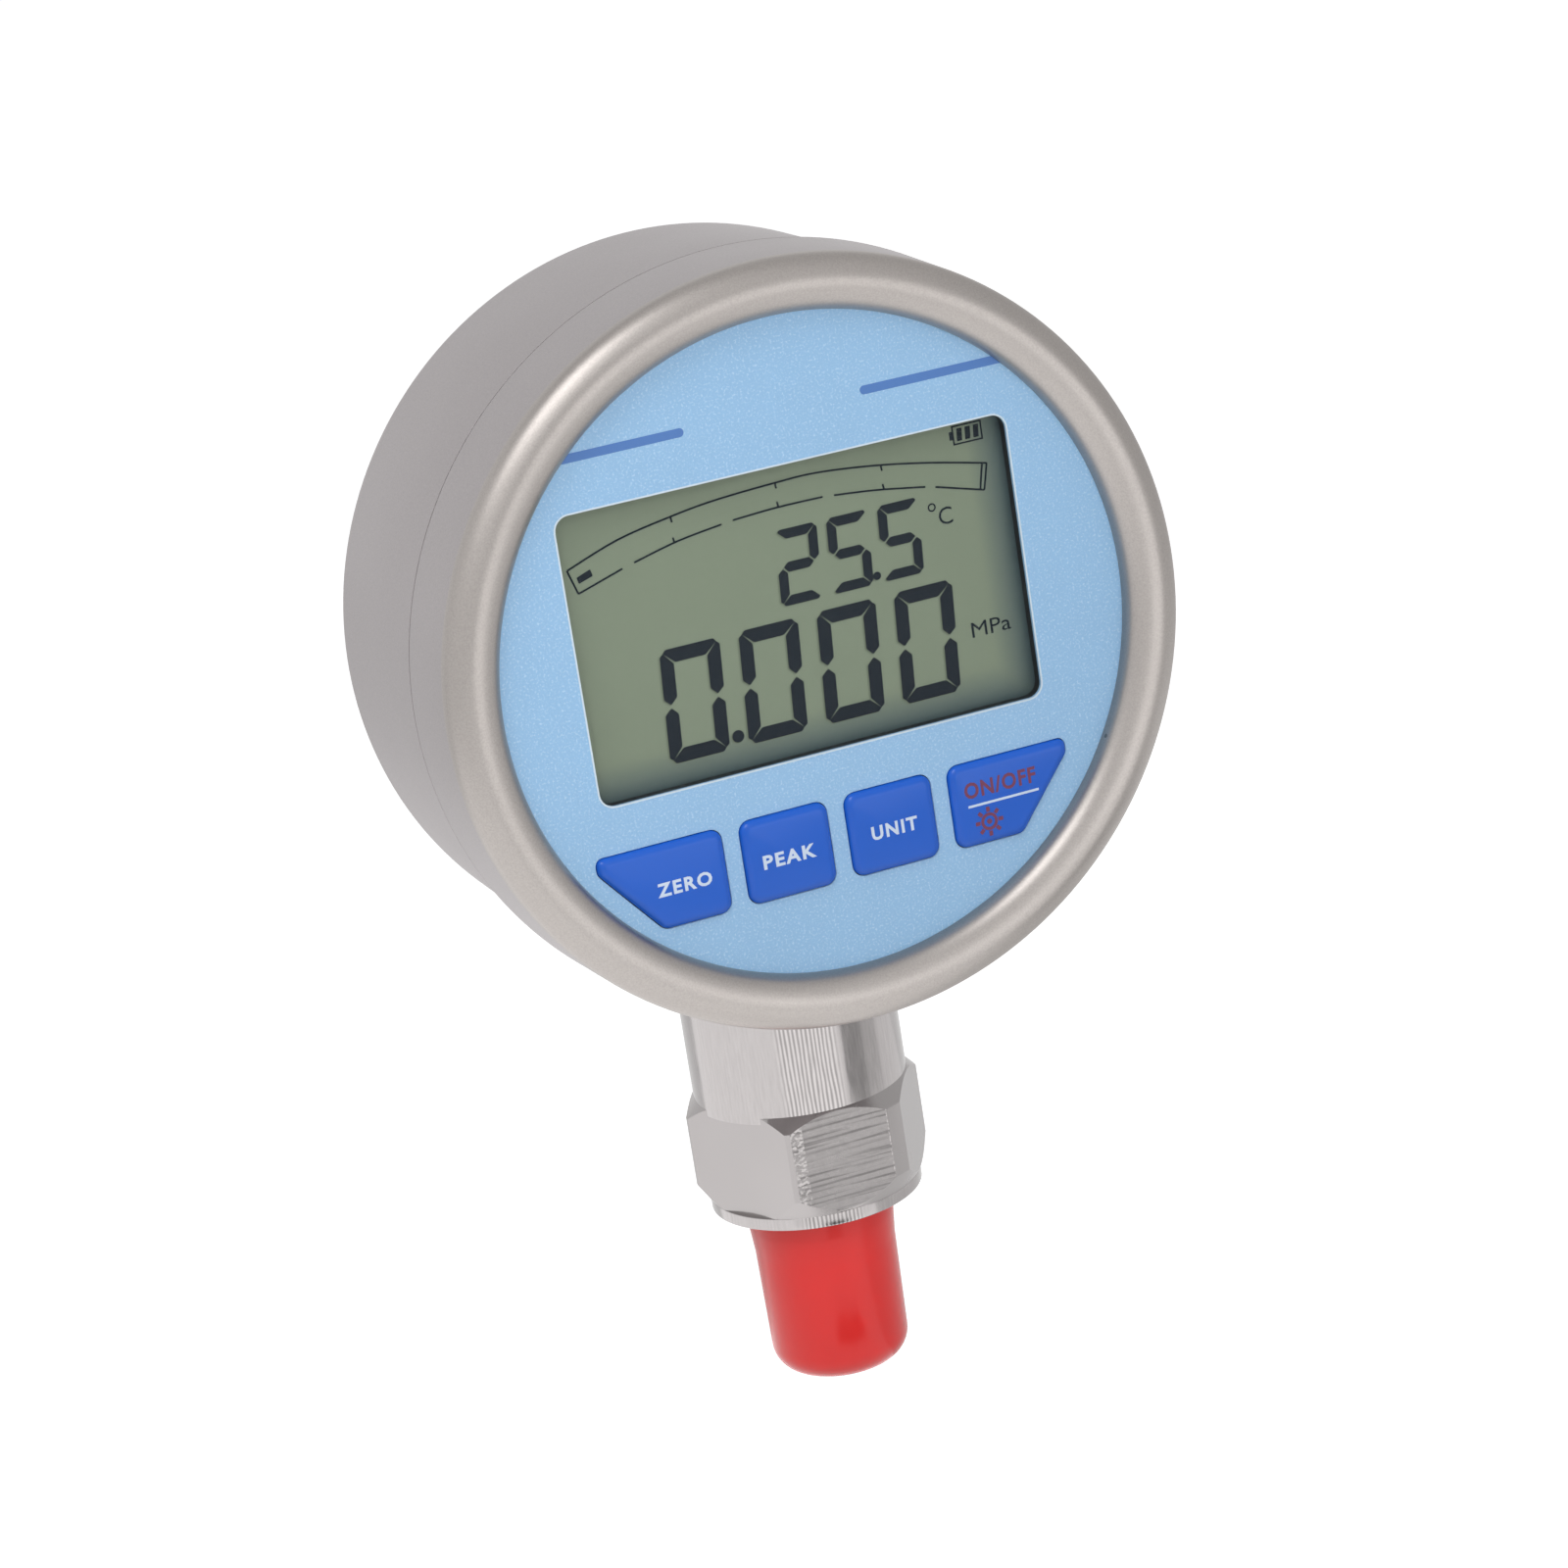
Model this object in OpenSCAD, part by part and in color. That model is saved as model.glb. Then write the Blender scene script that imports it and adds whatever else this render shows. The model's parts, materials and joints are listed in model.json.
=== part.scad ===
// Digital pressure gauge: a round steel case with a membrane-style face, a display and four keys,
// on a hexagon stem that screws into a pressure port. Origin: the sealing shoulder of the stem,
// on the thread axis. +Z runs up the stem, and the face looks along -Y. Millimetres.

/* [Case] */
// Outer diameter of the case drum
case_d = 108; // [104:0.5:116]
// Depth of the case, from the face sheet to its back
case_depth = 52.5; // [52:0.5:62]
// Wall of the drawn case
case_wall = 1.5; // [1.2:0.1:1.8]
// Radius of the rounded back edge
back_edge_r = 4.4; // [3:0.1:6]
// Depth of the seam between the front ring and the rear case, as a share of the case's depth
seam_share = 0.25; // [0.24:0.005:0.3]
// Height of the dial centre above the sealing shoulder
head_height = 93; // [91:0.5:110]

/* [Front ring] */
// Width of the ring's front, from the side of the drum in to the clear opening
ring_w = 6.4; // [6:0.1:7.2]
// How far the shoulder of the ring stands out beyond the drum
bead_proud = 0.85; // [0.6:0.05:1.2]
// How far the ring's skirt stands out beyond the drum at the seam
skirt_proud = 1.35; // [0.6:0.05:1.6]
// Height of the bead's crest over the face
bead_height = 3.8; // [3.6:0.1:4.1]
// Radius of the bead at its crest
crest_r = 2.6; // [2.4:0.1:2.8]
// Distance from the clear opening out to the crest
crest_w = 3.3; // [3.1:0.05:3.4]
// Radius of the ring's outer shoulder
shoulder_r = 1.3; // [1.1:0.1:1.5]
// Radius of the lip's inner edge
lip_r = 0.6; // [0.5:0.05:0.8]
// How far the lip reaches in over the clear opening
lip_reach = 0.8; // [0.6:0.05:0.9]

/* [Face] */
// Sideways shift of the printed layout, as a share of the clear opening's diameter
layout_shift_share = -0.0126; // [-0.02:0.001:0.01]
// Width of the display window, as a share of that diameter
window_w_share = 0.709; // [0.65:0.002:0.71]
// Height of the display window, as a share of that diameter
window_h_share = 0.434; // [0.38:0.002:0.436]
// Height of the window's middle over the dial centre, as a share of that diameter
window_z_share = 0.0578; // [0.05:0.001:0.066]
// Corner radius of the window
window_r = 2.1; // [1:0.1:3]
// Thickness of the face sheet
sheet_t = 0.5; // [0.3:0.05:0.8]
// Thickness of the face plate behind the sheet
plate_t = 2.5; // [2.2:0.1:3]

/* [Keys] */
// Width of the two middle keys, as a share of the clear opening's diameter
key_w_share = 0.1397; // [0.12:0.001:0.141]
// Width of the two outer keys along their top edge, as a share of that diameter
outer_key_w_share = 0.1954; // [0.18:0.001:0.197]
// Height of a key, as a share of that diameter
key_h_share = 0.1282; // [0.11:0.001:0.13]
// Gap between two keys, as a share of that diameter
key_gap_share = 0.0284; // [0.027:0.0005:0.031]
// Drop of the key row's middle under the dial centre, as a share of that diameter
key_drop_share = 0.2952; // [0.29:0.001:0.3]
// How far a key stands over the face sheet
key_proud = 0.9; // [0.6:0.1:1.2]
// Travel of a key
key_travel = 0.5; // [0.3:0.1:0.8]
// Corner radius of a key
key_r = 1.7; // [1:0.1:2.4]

/* [Stem] */
// Diameter of the neck under the case
neck_d = 32.4; // [31:0.2:33]
// Diameter of the bar that the hexagon is cut from
hex_bar_d = 36.2; // [35.4:0.1:36.8]
// Wrench size across the flats
hex_af = 32.8; // [31.5:0.1:33]
// Extra depth of the left flat, which is milled deeper than the others
deep_flat = 1.1; // [0:0.1:1.4]
// Turn of the hexagon away from square to the face, in degrees
hex_turn = -3; // [-30:1:30]
// Height of the hexagon, chamfers included
hex_h = 16.2; // [12:0.1:18]
// Height of the round collar under the hexagon
collar_h = 1.9; // [1:0.1:3]
// Diameter of the round collar, which is the sealing shoulder
collar_d = 32.2; // [31:0.1:33]

/* [Thread] */
// Major diameter of the process thread
thread_d = 20; // [18:0.5:21]
// Pitch of the process thread
thread_pitch = 1.5; // [1:0.25:2]
// Length from the sealing shoulder to the end of the thread
thread_len = 20; // [16:0.5:22]
// Diameter of the locating nose below the thread
nose_d = 6; // [5:0.5:8]
// Length of the locating nose
nose_len = 3.2; // [2:0.1:3.4]
// Bore of the pressure port
port_d = 3; // [2:0.1:3.5]

/* [Cap] */
// Wall of the push-on cap
cap_wall = 1.1; // [0.8:0.05:1.4]
// Overall length of the cap
cap_len = 27.9; // [27.4:0.1:32]
// Height of the thicker band round the cap's rim
cap_band = 4; // [2:0.5:6]
// How much the cap's radius shrinks below that band
cap_step = 0.4; // [0.2:0.05:0.5]
// How much it shrinks further from there to its closed end
cap_taper = 0.35; // [0.2:0.05:0.5]

/* [Battery] */
// Diameter of a battery cell, as a share of the case's diameter
cell_d_share = 0.1315; // [0.12:0.001:0.133]
// Length of a battery cell, as a share of the case's diameter
cell_len_share = 0.4648; // [0.42:0.002:0.466]
// Height of the battery tray's middle over the dial centre, as a share of the case's diameter
tray_z_share = 0.0556; // [0.04:0.002:0.07]

/* [Hidden] */
$fn = 96;
ring_facets = 180;

// Overrun of every cut, and the clearances that the fits use
cut = 1;
slip = 0.1;
running = 0.05;
seat_gap = 0.3;

// Places in the head: the dial centre, the stem's depth behind the face, radii of the case
stem_depth = case_depth - neck_d / 2;
case_r = case_d / 2;
case_in_r = case_r - case_wall;
ring_in_r = case_r - case_wall - slip;
bezel_r = case_r + bead_proud;
skirt_r = case_r + skirt_proud;
skirt_edge = 0.4;
view_r = case_r - ring_w;
view_d = 2 * view_r;
seam_depth = seam_share * case_depth;

// Spigot of the rear case inside the ring's skirt, with its sealing groove
spigot_wall = 2;
spigot_r = ring_in_r - slip;
spigot_in_r = spigot_r - spigot_wall;
spigot_reach = 5.2;
spigot_d0 = seam_depth - spigot_reach;
spigot_root = 2;
seal_groove = 1.1;
seal_d = seal_groove + slip / 2;
seal_groove_w = 1.6;
seal_setback = 2.2;

// Front of the ring: lip, crest and shoulder stand on one height, and straight slopes join them
bead_h = bead_height - crest_r;
lip_x = view_r - lip_reach + lip_r;
crest_x = view_r + crest_w;
shoulder_x = bezel_r - shoulder_r;
bead_steps = 8;
slope_in = asin((crest_r - lip_r) / (crest_x - lip_x));
slope_out = asin((crest_r - shoulder_r) / (shoulder_x - crest_x));

// Printed layout of the face
layout_x = layout_shift_share * view_d;
window_w = window_w_share * view_d;
window_h = window_h_share * view_d;
window_z = window_z_share * view_d;
key_w = key_w_share * view_d;
outer_key_w = outer_key_w_share * view_d;
key_h = key_h_share * view_d;
key_gap = key_gap_share * view_d;
key_drop = key_drop_share * view_d;

// Face sheet and plate
sheet_r = ring_in_r - seat_gap;
plate_d = sheet_t + plate_t;
plate_rim = 1.8;

// Display stack, from the sheet's back: frame lip, pane, glass, backlight
frame_lip = 1.5;
frame_wall = 1.2;
pocket_margin = 1.25;
pocket_slip = 0.2;
pane_t = 1;
glass_t = 2.2;
backlight_t = 3;
frame_back = 0.8;
pocket_w = window_w + 2 * pocket_margin;
pocket_h = window_h + 2 * pocket_margin;
pane_d = sheet_t + frame_lip;
glass_d = pane_d + pane_t;
backlight_d = glass_d + glass_t;
frame_d = backlight_d + backlight_t + frame_back;
strip_t = 2;
strip_edge = 0.6;
strip_w_share = 0.86;
strip_row = pocket_h / 2 - strip_edge - strip_t / 2;

// Main board and its posts
board_r = case_r - 5 * case_wall;
board_t = 1.6;
board_gap = 8;
board_d = plate_d + board_gap;
board_back = board_d + board_t;
post_share = 0.048;
post_r = post_share * case_r;
post_circle = board_r - post_r - case_wall;
post_angles = [8, 90, 172, 250, 290];
screw_r = 1.25;
screw_head_r = 2.2;
screw_head_h = 1.6;
screw_len = 6;

// Keys
key_slip = 0.3;
key_bevel = 0.45;
key_flange = 0.9;
key_flange_t = 1;
key_side_share = 0.18;
key_foot_share = 0.554;
key_slant_h = key_side_share * key_h;
key_foot_w = key_foot_share * outer_key_w;
key_pitch = key_w + key_gap;
key_corner_steps = 6;
key_back = plate_d + key_flange_t;
key_centres = [-key_pitch - key_w / 2, -key_pitch / 2, key_pitch / 2, key_pitch + key_w / 2];
switch_w = 6;
switch_h = 4;
switch_d = board_d - switch_h;
plunger_r = 1.75;
plunger_in = 1;
switch_floor = 0.6;

// Chips and headers on the back of the board: [x, z, width, height, thickness]
chips = [[-14, 6, 12, 12, 1.6], [10, 14, 8, 6, 1.6], [-6, -16, 5, 3.2, 1.2], [20, 4, 6, 6, 2.2]];
header_w = 9;
header_h = 5.6;
header_t = 5;
plug_w = 7.6;
plug_h = 4.4;
plug_t = 4.4;
header_x_share = 0.2;
header_z_share = -0.5;
header_x = header_x_share * case_r;
header_z = header_z_share * case_r;
plug_d = board_back + header_t;

// Battery tray
cell_d = cell_d_share * case_d;
cell_len = cell_len_share * case_d;
tray_z = tray_z_share * case_d;
tray_wall = 1.5;
cell_slip = 0.4;
cell_pitch = cell_d + 2 * cell_slip;
spring_room = 3;
plate_thick = 0.4;
tray_w = cell_len + 2 * spring_room + 2 * tray_wall + 2 * plate_thick;
tray_h = 3 * cell_pitch + 2 * tray_wall;
tray_back = case_depth - case_wall;
tray_depth = cell_d + 2 * cell_slip + tray_wall;
tray_d = tray_back - tray_depth;
cell_x = cell_len / 2;
cell_depth = tray_d + tray_wall + cell_slip + cell_d / 2;
boss_r = 3.4;
boss_len = 7;
boss_x = tray_w / 2 + boss_r - 0.3 * boss_r;
boss_z = tray_h / 2 - 1.4 * boss_r;
door_margin = 1;
door_w = tray_w - 2 * tray_wall - 2 * door_margin;
door_h = tray_h - 2 * tray_wall - 2 * door_margin;

// Battery cover on the back
cover_edge = 1;
cover_w = 2 * (boss_x + boss_r + cover_edge);
cover_h = tray_h + 4 * cover_edge;
cover_r = 8;
cover_t = 1.5;
gasket_t = 0.8;
gasket_w = 4;
cover_screw_r = 1.5;
cover_head_r = 2.9;
cover_head_h = 1.8;
cover_screw_len = 6;
socket_w_share = 0.9;
socket_depth_share = 0.5;

// Stem levels above the sealing shoulder
hex_z = collar_h;
neck_z = hex_z + hex_h;
low_chamfer = 3.3;
top_chamfer = 2.1;
neck_top = head_height - case_r + 0.7 * back_edge_r;
flat_r = hex_af / 2;
deep_flat_turn = -60;

// Clamping end of the stem inside the case
core_r = 12;
core_slip = 0.3;
core_rise = 17;
core_top = head_height - case_r + core_rise;
clamp_slip = 0.4;
clamp_r = case_depth - case_wall - stem_depth - clamp_slip;
seal_t = 0.8;
clamp_rise = 4.8;
clamp_top = head_height - case_in_r + clamp_rise;
nut_h = 6;
nut_slot = 3;
nut_slot_depth = 1.6;

// Pressure sensor in the top of the stem
sensor_r = 9.5;
sensor_h = 6.5;
o_ring_d = 1.5;
o_ring_r = 8.2;
retainer_h = 3;
retainer_in_r = 6.5;
cavity_r = sensor_r + slip;
cavity_spare = 0.5;
cavity_depth = o_ring_d + sensor_h + retainer_h + cavity_spare;
cavity_z = core_top - cavity_depth;
sensor_z = cavity_z + o_ring_d;
pin_block_r = 4.5;
pin_block_h = 1.4;

// Thread and nose
thread_r = thread_d / 2;
thread_depth = 0.6 * thread_pitch;
thread_root_r = thread_r - thread_depth;
relief_len = 2.5;
turns = floor((thread_len - relief_len) / thread_pitch);
nose_r = nose_d / 2;
nose_edge = 0.4;
port_r = port_d / 2;

// Cap
cap_gap = 0.2;
cap_in_r = thread_r + running;
cap_r = cap_in_r + cap_wall;
cap_end_r = 4.2;
cap_steps = 8;
cap_grip_spare = 0.5;
cap_grip = thread_len + cap_grip_spare;
cap_band_slope = 0.05;
cap_body_wall = 0.6;

// Leads inside the case
lead_r = 1.4;
lead_sides = 8;
lead_steps = 6;

// Share of an edge that the rounding at one of its ends may take
edge_share = 0.48;
straight = 180;

// Outline points: a polygon's corners, each rounded to a radius
function unit(v) = v / norm(v);
function turned(v, a) = [v.x * cos(a) - v.y * sin(a), v.x * sin(a) + v.y * cos(a)];
function corner(a, b, c, wanted, steps) =
    let (u = unit(a - b), w = unit(c - b), opening = acos(u * w))
    let (room = edge_share * min(norm(a - b), norm(c - b)) * tan(opening / 2))
    let (r = min(wanted, room), reach = r / tan(opening / 2))
    let (centre = b + unit(u + w) * r / sin(opening / 2), start = b + u * reach - centre)
    let (side = u.x * w.y - u.y * w.x > 0 ? -1 : 1)
    [for (i = [0 : steps]) centre + turned(start, side * (straight - opening) * i / steps)];
function rounded(p, r, steps) =
    [for (i = [0 : len(p) - 1], q = corner(p[(i + len(p) - 1) % len(p)], p[i], p[(i + 1) % len(p)], r, steps)) q];
function box_points(w, h) = [[-w / 2, -h / 2], [w / 2, -h / 2], [w / 2, h / 2], [-w / 2, h / 2]];

// Tube along a route: one ring of corners at each point, square to the way through it
function along(p, i) = unit(p[min(i + 1, len(p) - 1)] - p[max(i - 1, 0)]);
function across(t) = unit(cross(t, [0.2, 1, 0.1]));
function ring_at(p, i, r) =
    let (t = along(p, i), a = across(t), b = cross(t, a))
    [for (k = [0 : lead_sides - 1]) p[i] + r * (cos(360 * k / lead_sides) * a + sin(360 * k / lead_sides) * b)];
function bend(a, b, c, s) = (1 - s) * (1 - s) * a + 2 * s * (1 - s) * b + s * s * c;
function smooth_route(p) = concat([p[0]],
    [for (i = [1 : len(p) - 2], s = [0 : 1 / lead_steps : 0.999])
        bend((p[i - 1] + p[i]) / 2, p[i], (p[i] + p[i + 1]) / 2, s)],
    [p[len(p) - 1]]);
module tube(route, r) {
    p = smooth_route(route);
    last = (len(p) - 1) * lead_sides;
    points = [for (i = [0 : len(p) - 1], q = ring_at(p, i, r)) q];
    walls = [for (i = [0 : len(p) - 2], k = [0 : lead_sides - 1], half = [0, 1])
        let (m = (k + 1) % lead_sides, n = i * lead_sides)
        half == 0 ? [n + k, n + m, n + lead_sides + m] : [n + k, n + lead_sides + m, n + lead_sides + k]];
    ends = [[for (k = [lead_sides - 1 : -1 : 0]) k], [for (k = [0 : lead_sides - 1]) last + k]];
    polyhedron(points, concat(walls, ends));
}

// The head's own frame: the dial centre on the face, +Z out of the face, depths run behind it
module head() {
    translate([0, -stem_depth, head_height])
        rotate([90, 0, 0])
            children();
}
module slab(d0, d1) {
    translate([0, 0, -d1])
        linear_extrude(height = d1 - d0)
            children();
}
module layout() {
    translate([layout_x, 0])
        children();
}
module window_place() {
    translate([layout_x, window_z])
        children();
}
module rounded_box(w, h, r) {
    polygon(rounded(box_points(w, h), r, key_corner_steps));
}

// Solid outline of the drum from the seam back, and of the space inside it
module drum(r, d0, d1, edge) {
    rotate_extrude()
        difference() {
            union() {
                translate([0, -d1 + edge])
                    square([r, d1 - d0 - edge]);
                translate([0, -d1])
                    square([r - edge, edge]);
                translate([r - edge, -d1 + edge])
                    circle(r = edge);
            }
            translate([-edge - r, -d1 - edge])
                square([r + edge, d1 - d0 + 2 * edge]);
        }
}

module rear_case() {
    color("silver")
        difference() {
            union() {
                head()
                    drum(case_r, seam_depth, case_depth, back_edge_r);
                head()
                    translate([0, 0, -seam_depth - spigot_root])
                        cylinder(r = spigot_r, h = spigot_reach + spigot_root);
            }
            head()
                drum(case_in_r, seam_depth + spigot_root, case_depth - case_wall, back_edge_r - case_wall);
            head()
                translate([0, 0, -seam_depth - spigot_root - cut])
                    cylinder(r = spigot_in_r, h = spigot_reach + spigot_root + 2 * cut);
            head()
                translate([0, 0, -spigot_d0 - seal_setback - seal_groove_w])
                    difference() {
                        cylinder(r = spigot_r + cut, h = seal_groove_w);
                        translate([0, 0, -cut])
                            cylinder(r = spigot_r - seal_groove, h = seal_groove_w + 2 * cut);
                    }
            head()
                slab(tray_back - cut, case_depth + cut)
                    translate([0, tray_z])
                        rounded_box(door_w, door_h, door_margin + tray_wall);
            head()
                cover_screw_places()
                    translate([0, 0, -case_depth - cut])
                        cylinder(r = cover_screw_r + slip, h = case_wall + 2 * cut);
            translate([0, 0, head_height - case_r - cut])
                cylinder(r = core_r + core_slip, h = case_r - spigot_in_r + case_wall);
        }
}

// Round of the lip, crest or shoulder, from one lean of the surface to the next
function bead_arc(x, r, first, last) = [for (i = [0 : bead_steps])
    let (lean = first + (last - first) * i / bead_steps) [x + r * sin(lean), bead_h + r * cos(lean)]];

module ring_profile() {
    polygon(concat(
        [[ring_in_r, -seam_depth], [skirt_r - skirt_edge, -seam_depth], [skirt_r, skirt_edge - seam_depth]],
        bead_arc(shoulder_x, shoulder_r, 90, slope_out), bead_arc(crest_x, crest_r, slope_out, -slope_in),
        bead_arc(lip_x, lip_r, -slope_in, -90), [[lip_x - lip_r, 0], [ring_in_r, 0]]));
}

module front_ring() {
    color("silver")
        head()
            rotate_extrude($fn = ring_facets)
                ring_profile();
}

module ring_seal() {
    color("dimgray")
        head()
            translate([0, 0, -spigot_d0 - seal_setback - seal_groove_w / 2])
                rotate_extrude()
                    translate([spigot_r - seal_groove + seal_d / 2, 0])
                        circle(r = seal_d / 2, $fn = 24);
}

// Key outlines, about the middle of a middle key or the inner edge of an outer key
function outer_key_points(grow) =
    let (half = key_h / 2, slant = key_h - key_slant_h)
    let (run = outer_key_w - key_foot_w, lean = norm([run, slant]))
    let (nip = grow * (lean - slant) / run, tuck = grow * (lean - run) / slant)
    [[-grow, -half - grow], [key_foot_w + tuck, -half - grow], [outer_key_w + grow, half - key_slant_h - nip],
        [outer_key_w + grow, half + grow], [-grow, half + grow]];
module key_outline(i, grow) {
    if (i == 1 || i == 2)
        translate([key_centres[i], -key_drop])
            polygon(rounded(box_points(key_w + 2 * grow, key_h + 2 * grow), key_r, key_corner_steps));
    if (i == 3)
        translate([key_pitch + key_gap / 2, -key_drop])
            polygon(rounded(outer_key_points(grow), key_r, key_corner_steps));
    if (i == 0)
        mirror([1, 0])
            key_outline(3, grow);
}
module key(i) {
    color("royalblue")
        head()
            layout() {
                hull() {
                    slab(-key_proud, -key_proud + key_bevel)
                        key_outline(i, -key_bevel);
                    slab(-key_proud + key_bevel, 0)
                        key_outline(i, 0);
                }
                slab(0, plate_d)
                    key_outline(i, 0);
                slab(plate_d, key_back)
                    key_outline(i, key_flange);
            }
}
module plunger(i) {
    color("white")
        head()
            layout()
                translate([key_centres[i], -key_drop, -switch_d - plunger_in])
                    cylinder(r = plunger_r, h = switch_d + plunger_in - key_back, $fn = 48);
}
module key_zero() {
    key(0);
}
module key_peak() {
    key(1);
}
module key_unit() {
    key(2);
}
module key_power() {
    key(3);
}
module plunger_zero() {
    plunger(0);
}
module plunger_peak() {
    plunger(1);
}
module plunger_unit() {
    plunger(2);
}
module plunger_power() {
    plunger(3);
}

module face_openings(d0, d1) {
    for (i = [0 : 3])
        layout()
            slab(d0, d1)
                key_outline(i, key_slip);
}

module face_sheet() {
    color("lightskyblue")
        head()
            difference() {
                slab(0, sheet_t)
                    circle(r = sheet_r, $fn = ring_facets);
                slab(-cut, sheet_t + cut)
                    window_place()
                        rounded_box(window_w, window_h, window_r);
                face_openings(-cut, sheet_t + cut);
            }
}

module face_plate() {
    color("dimgray")
        head()
            difference() {
                union() {
                    rotate_extrude($fn = ring_facets)
                        polygon([[0, -sheet_t], [sheet_r, -sheet_t], [sheet_r, -spigot_d0],
                            [sheet_r - plate_rim, -spigot_d0], [sheet_r - plate_rim, -plate_d], [0, -plate_d]]);
                    board_screw_places()
                        slab(sheet_t + plate_t / 2, board_d)
                            circle(r = post_r, $fn = 48);
                }
                slab(sheet_t - cut, plate_d + cut)
                    window_place()
                        square([pocket_w + 2 * frame_wall + 2 * pocket_slip,
                            pocket_h + 2 * frame_wall + 2 * pocket_slip], center = true);
                face_openings(sheet_t - cut, plate_d + cut);
                board_screw_places()
                    translate([0, 0, -board_d - cut])
                        cylinder(r = screw_r + running, h = screw_len - board_t + cut + slip, $fn = 32);
            }
}

module window_pane() {
    color("lightcyan", 0.4)
        head()
            slab(pane_d, glass_d)
                window_place()
                    square([pocket_w - 2 * pocket_slip, pocket_h - 2 * pocket_slip], center = true);
}

module display_frame() {
    color("darkslategray")
        head()
            difference() {
                slab(sheet_t, frame_d)
                    window_place()
                        square([pocket_w + 2 * frame_wall, pocket_h + 2 * frame_wall], center = true);
                slab(sheet_t - cut, pane_d + cut)
                    window_place()
                        rounded_box(window_w, window_h, window_r);
                slab(pane_d, frame_d + cut)
                    window_place()
                        square([pocket_w, pocket_h], center = true);
            }
}

module display_glass() {
    color("darkkhaki")
        head()
            slab(glass_d, backlight_d)
                window_place()
                    square([pocket_w - 2 * pocket_slip, pocket_h - 2 * pocket_slip], center = true);
}

module backlight() {
    color("white")
        head()
            slab(backlight_d, backlight_d + backlight_t)
                window_place()
                    square([pocket_w - 2 * pocket_slip, pocket_h - 4 * strip_edge - 2 * strip_t], center = true);
}

module contact_strips() {
    color("gray")
        head()
            slab(backlight_d, board_d)
                window_place()
                    for (side = [-1, 1])
                        translate([0, side * strip_row])
                            square([strip_w_share * pocket_w, strip_t], center = true);
}

module switch_bodies() {
    color("black")
        head()
            layout()
                for (x = key_centres)
                    translate([x, -key_drop])
                        difference() {
                            slab(switch_d, board_d)
                                square(switch_w, center = true);
                            translate([0, 0, -board_d + switch_floor])
                                cylinder(r = plunger_r + running, h = switch_h, $fn = 48);
                        }
}

module board_screw_places() {
    for (a = post_angles)
        rotate(a)
            translate([post_circle, 0])
                children();
}

module main_board() {
    color("seagreen")
        head()
            difference() {
                slab(board_d, board_back)
                    circle(r = board_r);
                board_screw_places()
                    translate([0, 0, -board_back - cut])
                        cylinder(r = screw_r + slip, h = board_t + 2 * cut, $fn = 32);
            }
}

module board_screws() {
    color("silver")
        head()
            board_screw_places()
                difference() {
                    union() {
                        translate([0, 0, -board_back - screw_head_h])
                            cylinder(r = screw_head_r, h = screw_head_h, $fn = 32);
                        translate([0, 0, -board_back])
                            cylinder(r = screw_r, h = screw_len, $fn = 32);
                    }
                    cross_slot(board_back + screw_head_h, screw_head_r, screw_head_h);
                }
}

// Cross recess in the head of a screw whose head ends at a depth
module cross_slot(depth, r, h) {
    for (a = [0, 90])
        rotate(a)
            translate([-r * socket_w_share / 2, -r * socket_w_share / 8, -depth - cut])
                cube([r * socket_w_share, r * socket_w_share / 4, h * socket_depth_share + cut]);
}

module board_chips() {
    color("black")
        head()
            for (c = chips)
                translate([c[0], c[1]])
                    slab(board_back, board_back + c[4])
                        square([c[2], c[3]], center = true);
}

module header_place(side) {
    translate([side * header_x, header_z])
        children();
}

module board_headers() {
    color("ivory")
        head()
            for (side = [-1, 1])
                header_place(side)
                    difference() {
                        slab(board_back, plug_d)
                            square([header_w, header_h], center = true);
                        slab(plug_d - header_t / 2, plug_d + cut)
                            square([plug_w + 2 * slip, plug_h + 2 * slip], center = true);
                    }
}

module plug(side) {
    color("white")
        head()
            header_place(side)
                slab(plug_d - header_t / 2, plug_d - header_t / 2 + plug_t)
                    square([plug_w, plug_h], center = true);
}
module sensor_plug() {
    plug(1);
}
module battery_plug() {
    plug(-1);
}

// Leads: from the sensor up to its plug, and from the tray down to the other plug
plug_end = plug_d - header_t / 2 + plug_t;
plug_y = plug_end - stem_depth;
plug_z = head_height + header_z;
lead_drop = 4 * lead_r;
module sensor_lead() {
    color("gray")
        tube([[0, 0, sensor_z + sensor_h + pin_block_h], [0, 0, core_top + lead_drop],
            [header_x / 2, plug_y / 2, plug_z], [header_x, plug_y + lead_drop, plug_z],
            [header_x, plug_y, plug_z]], lead_r);
}
module battery_lead() {
    tray_y = tray_d - stem_depth;
    lead_y = (tray_y + plug_y) / 2;
    lead_z = head_height + tray_z - tray_h / 4;
    color("gray")
        tube([[-header_x, tray_y, lead_z], [-header_x, lead_y, lead_z],
            [-header_x, lead_y, plug_z], [-header_x, plug_y, plug_z]], lead_r);
}

module cover_screw_places() {
    for (sx = [-1, 1], sz = [-1, 1])
        translate([sx * boss_x, tray_z + sz * boss_z])
            children();
}

module battery_tray() {
    color("dimgray")
        head()
            difference() {
                union() {
                    slab(tray_d, tray_back)
                        translate([0, tray_z])
                            square([tray_w, tray_h], center = true);
                    cover_screw_places()
                        translate([0, 0, -tray_back])
                            cylinder(r = boss_r, h = boss_len, $fn = 48);
                }
                slab(tray_d + tray_wall, tray_back + cut)
                    translate([0, tray_z])
                        square([tray_w - 2 * tray_wall, tray_h - 2 * tray_wall], center = true);
                cover_screw_places()
                    translate([0, 0, -tray_back - cut])
                        cylinder(r = cover_screw_r + running, h = cover_screw_len + cut + slip, $fn = 32);
            }
}

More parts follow.
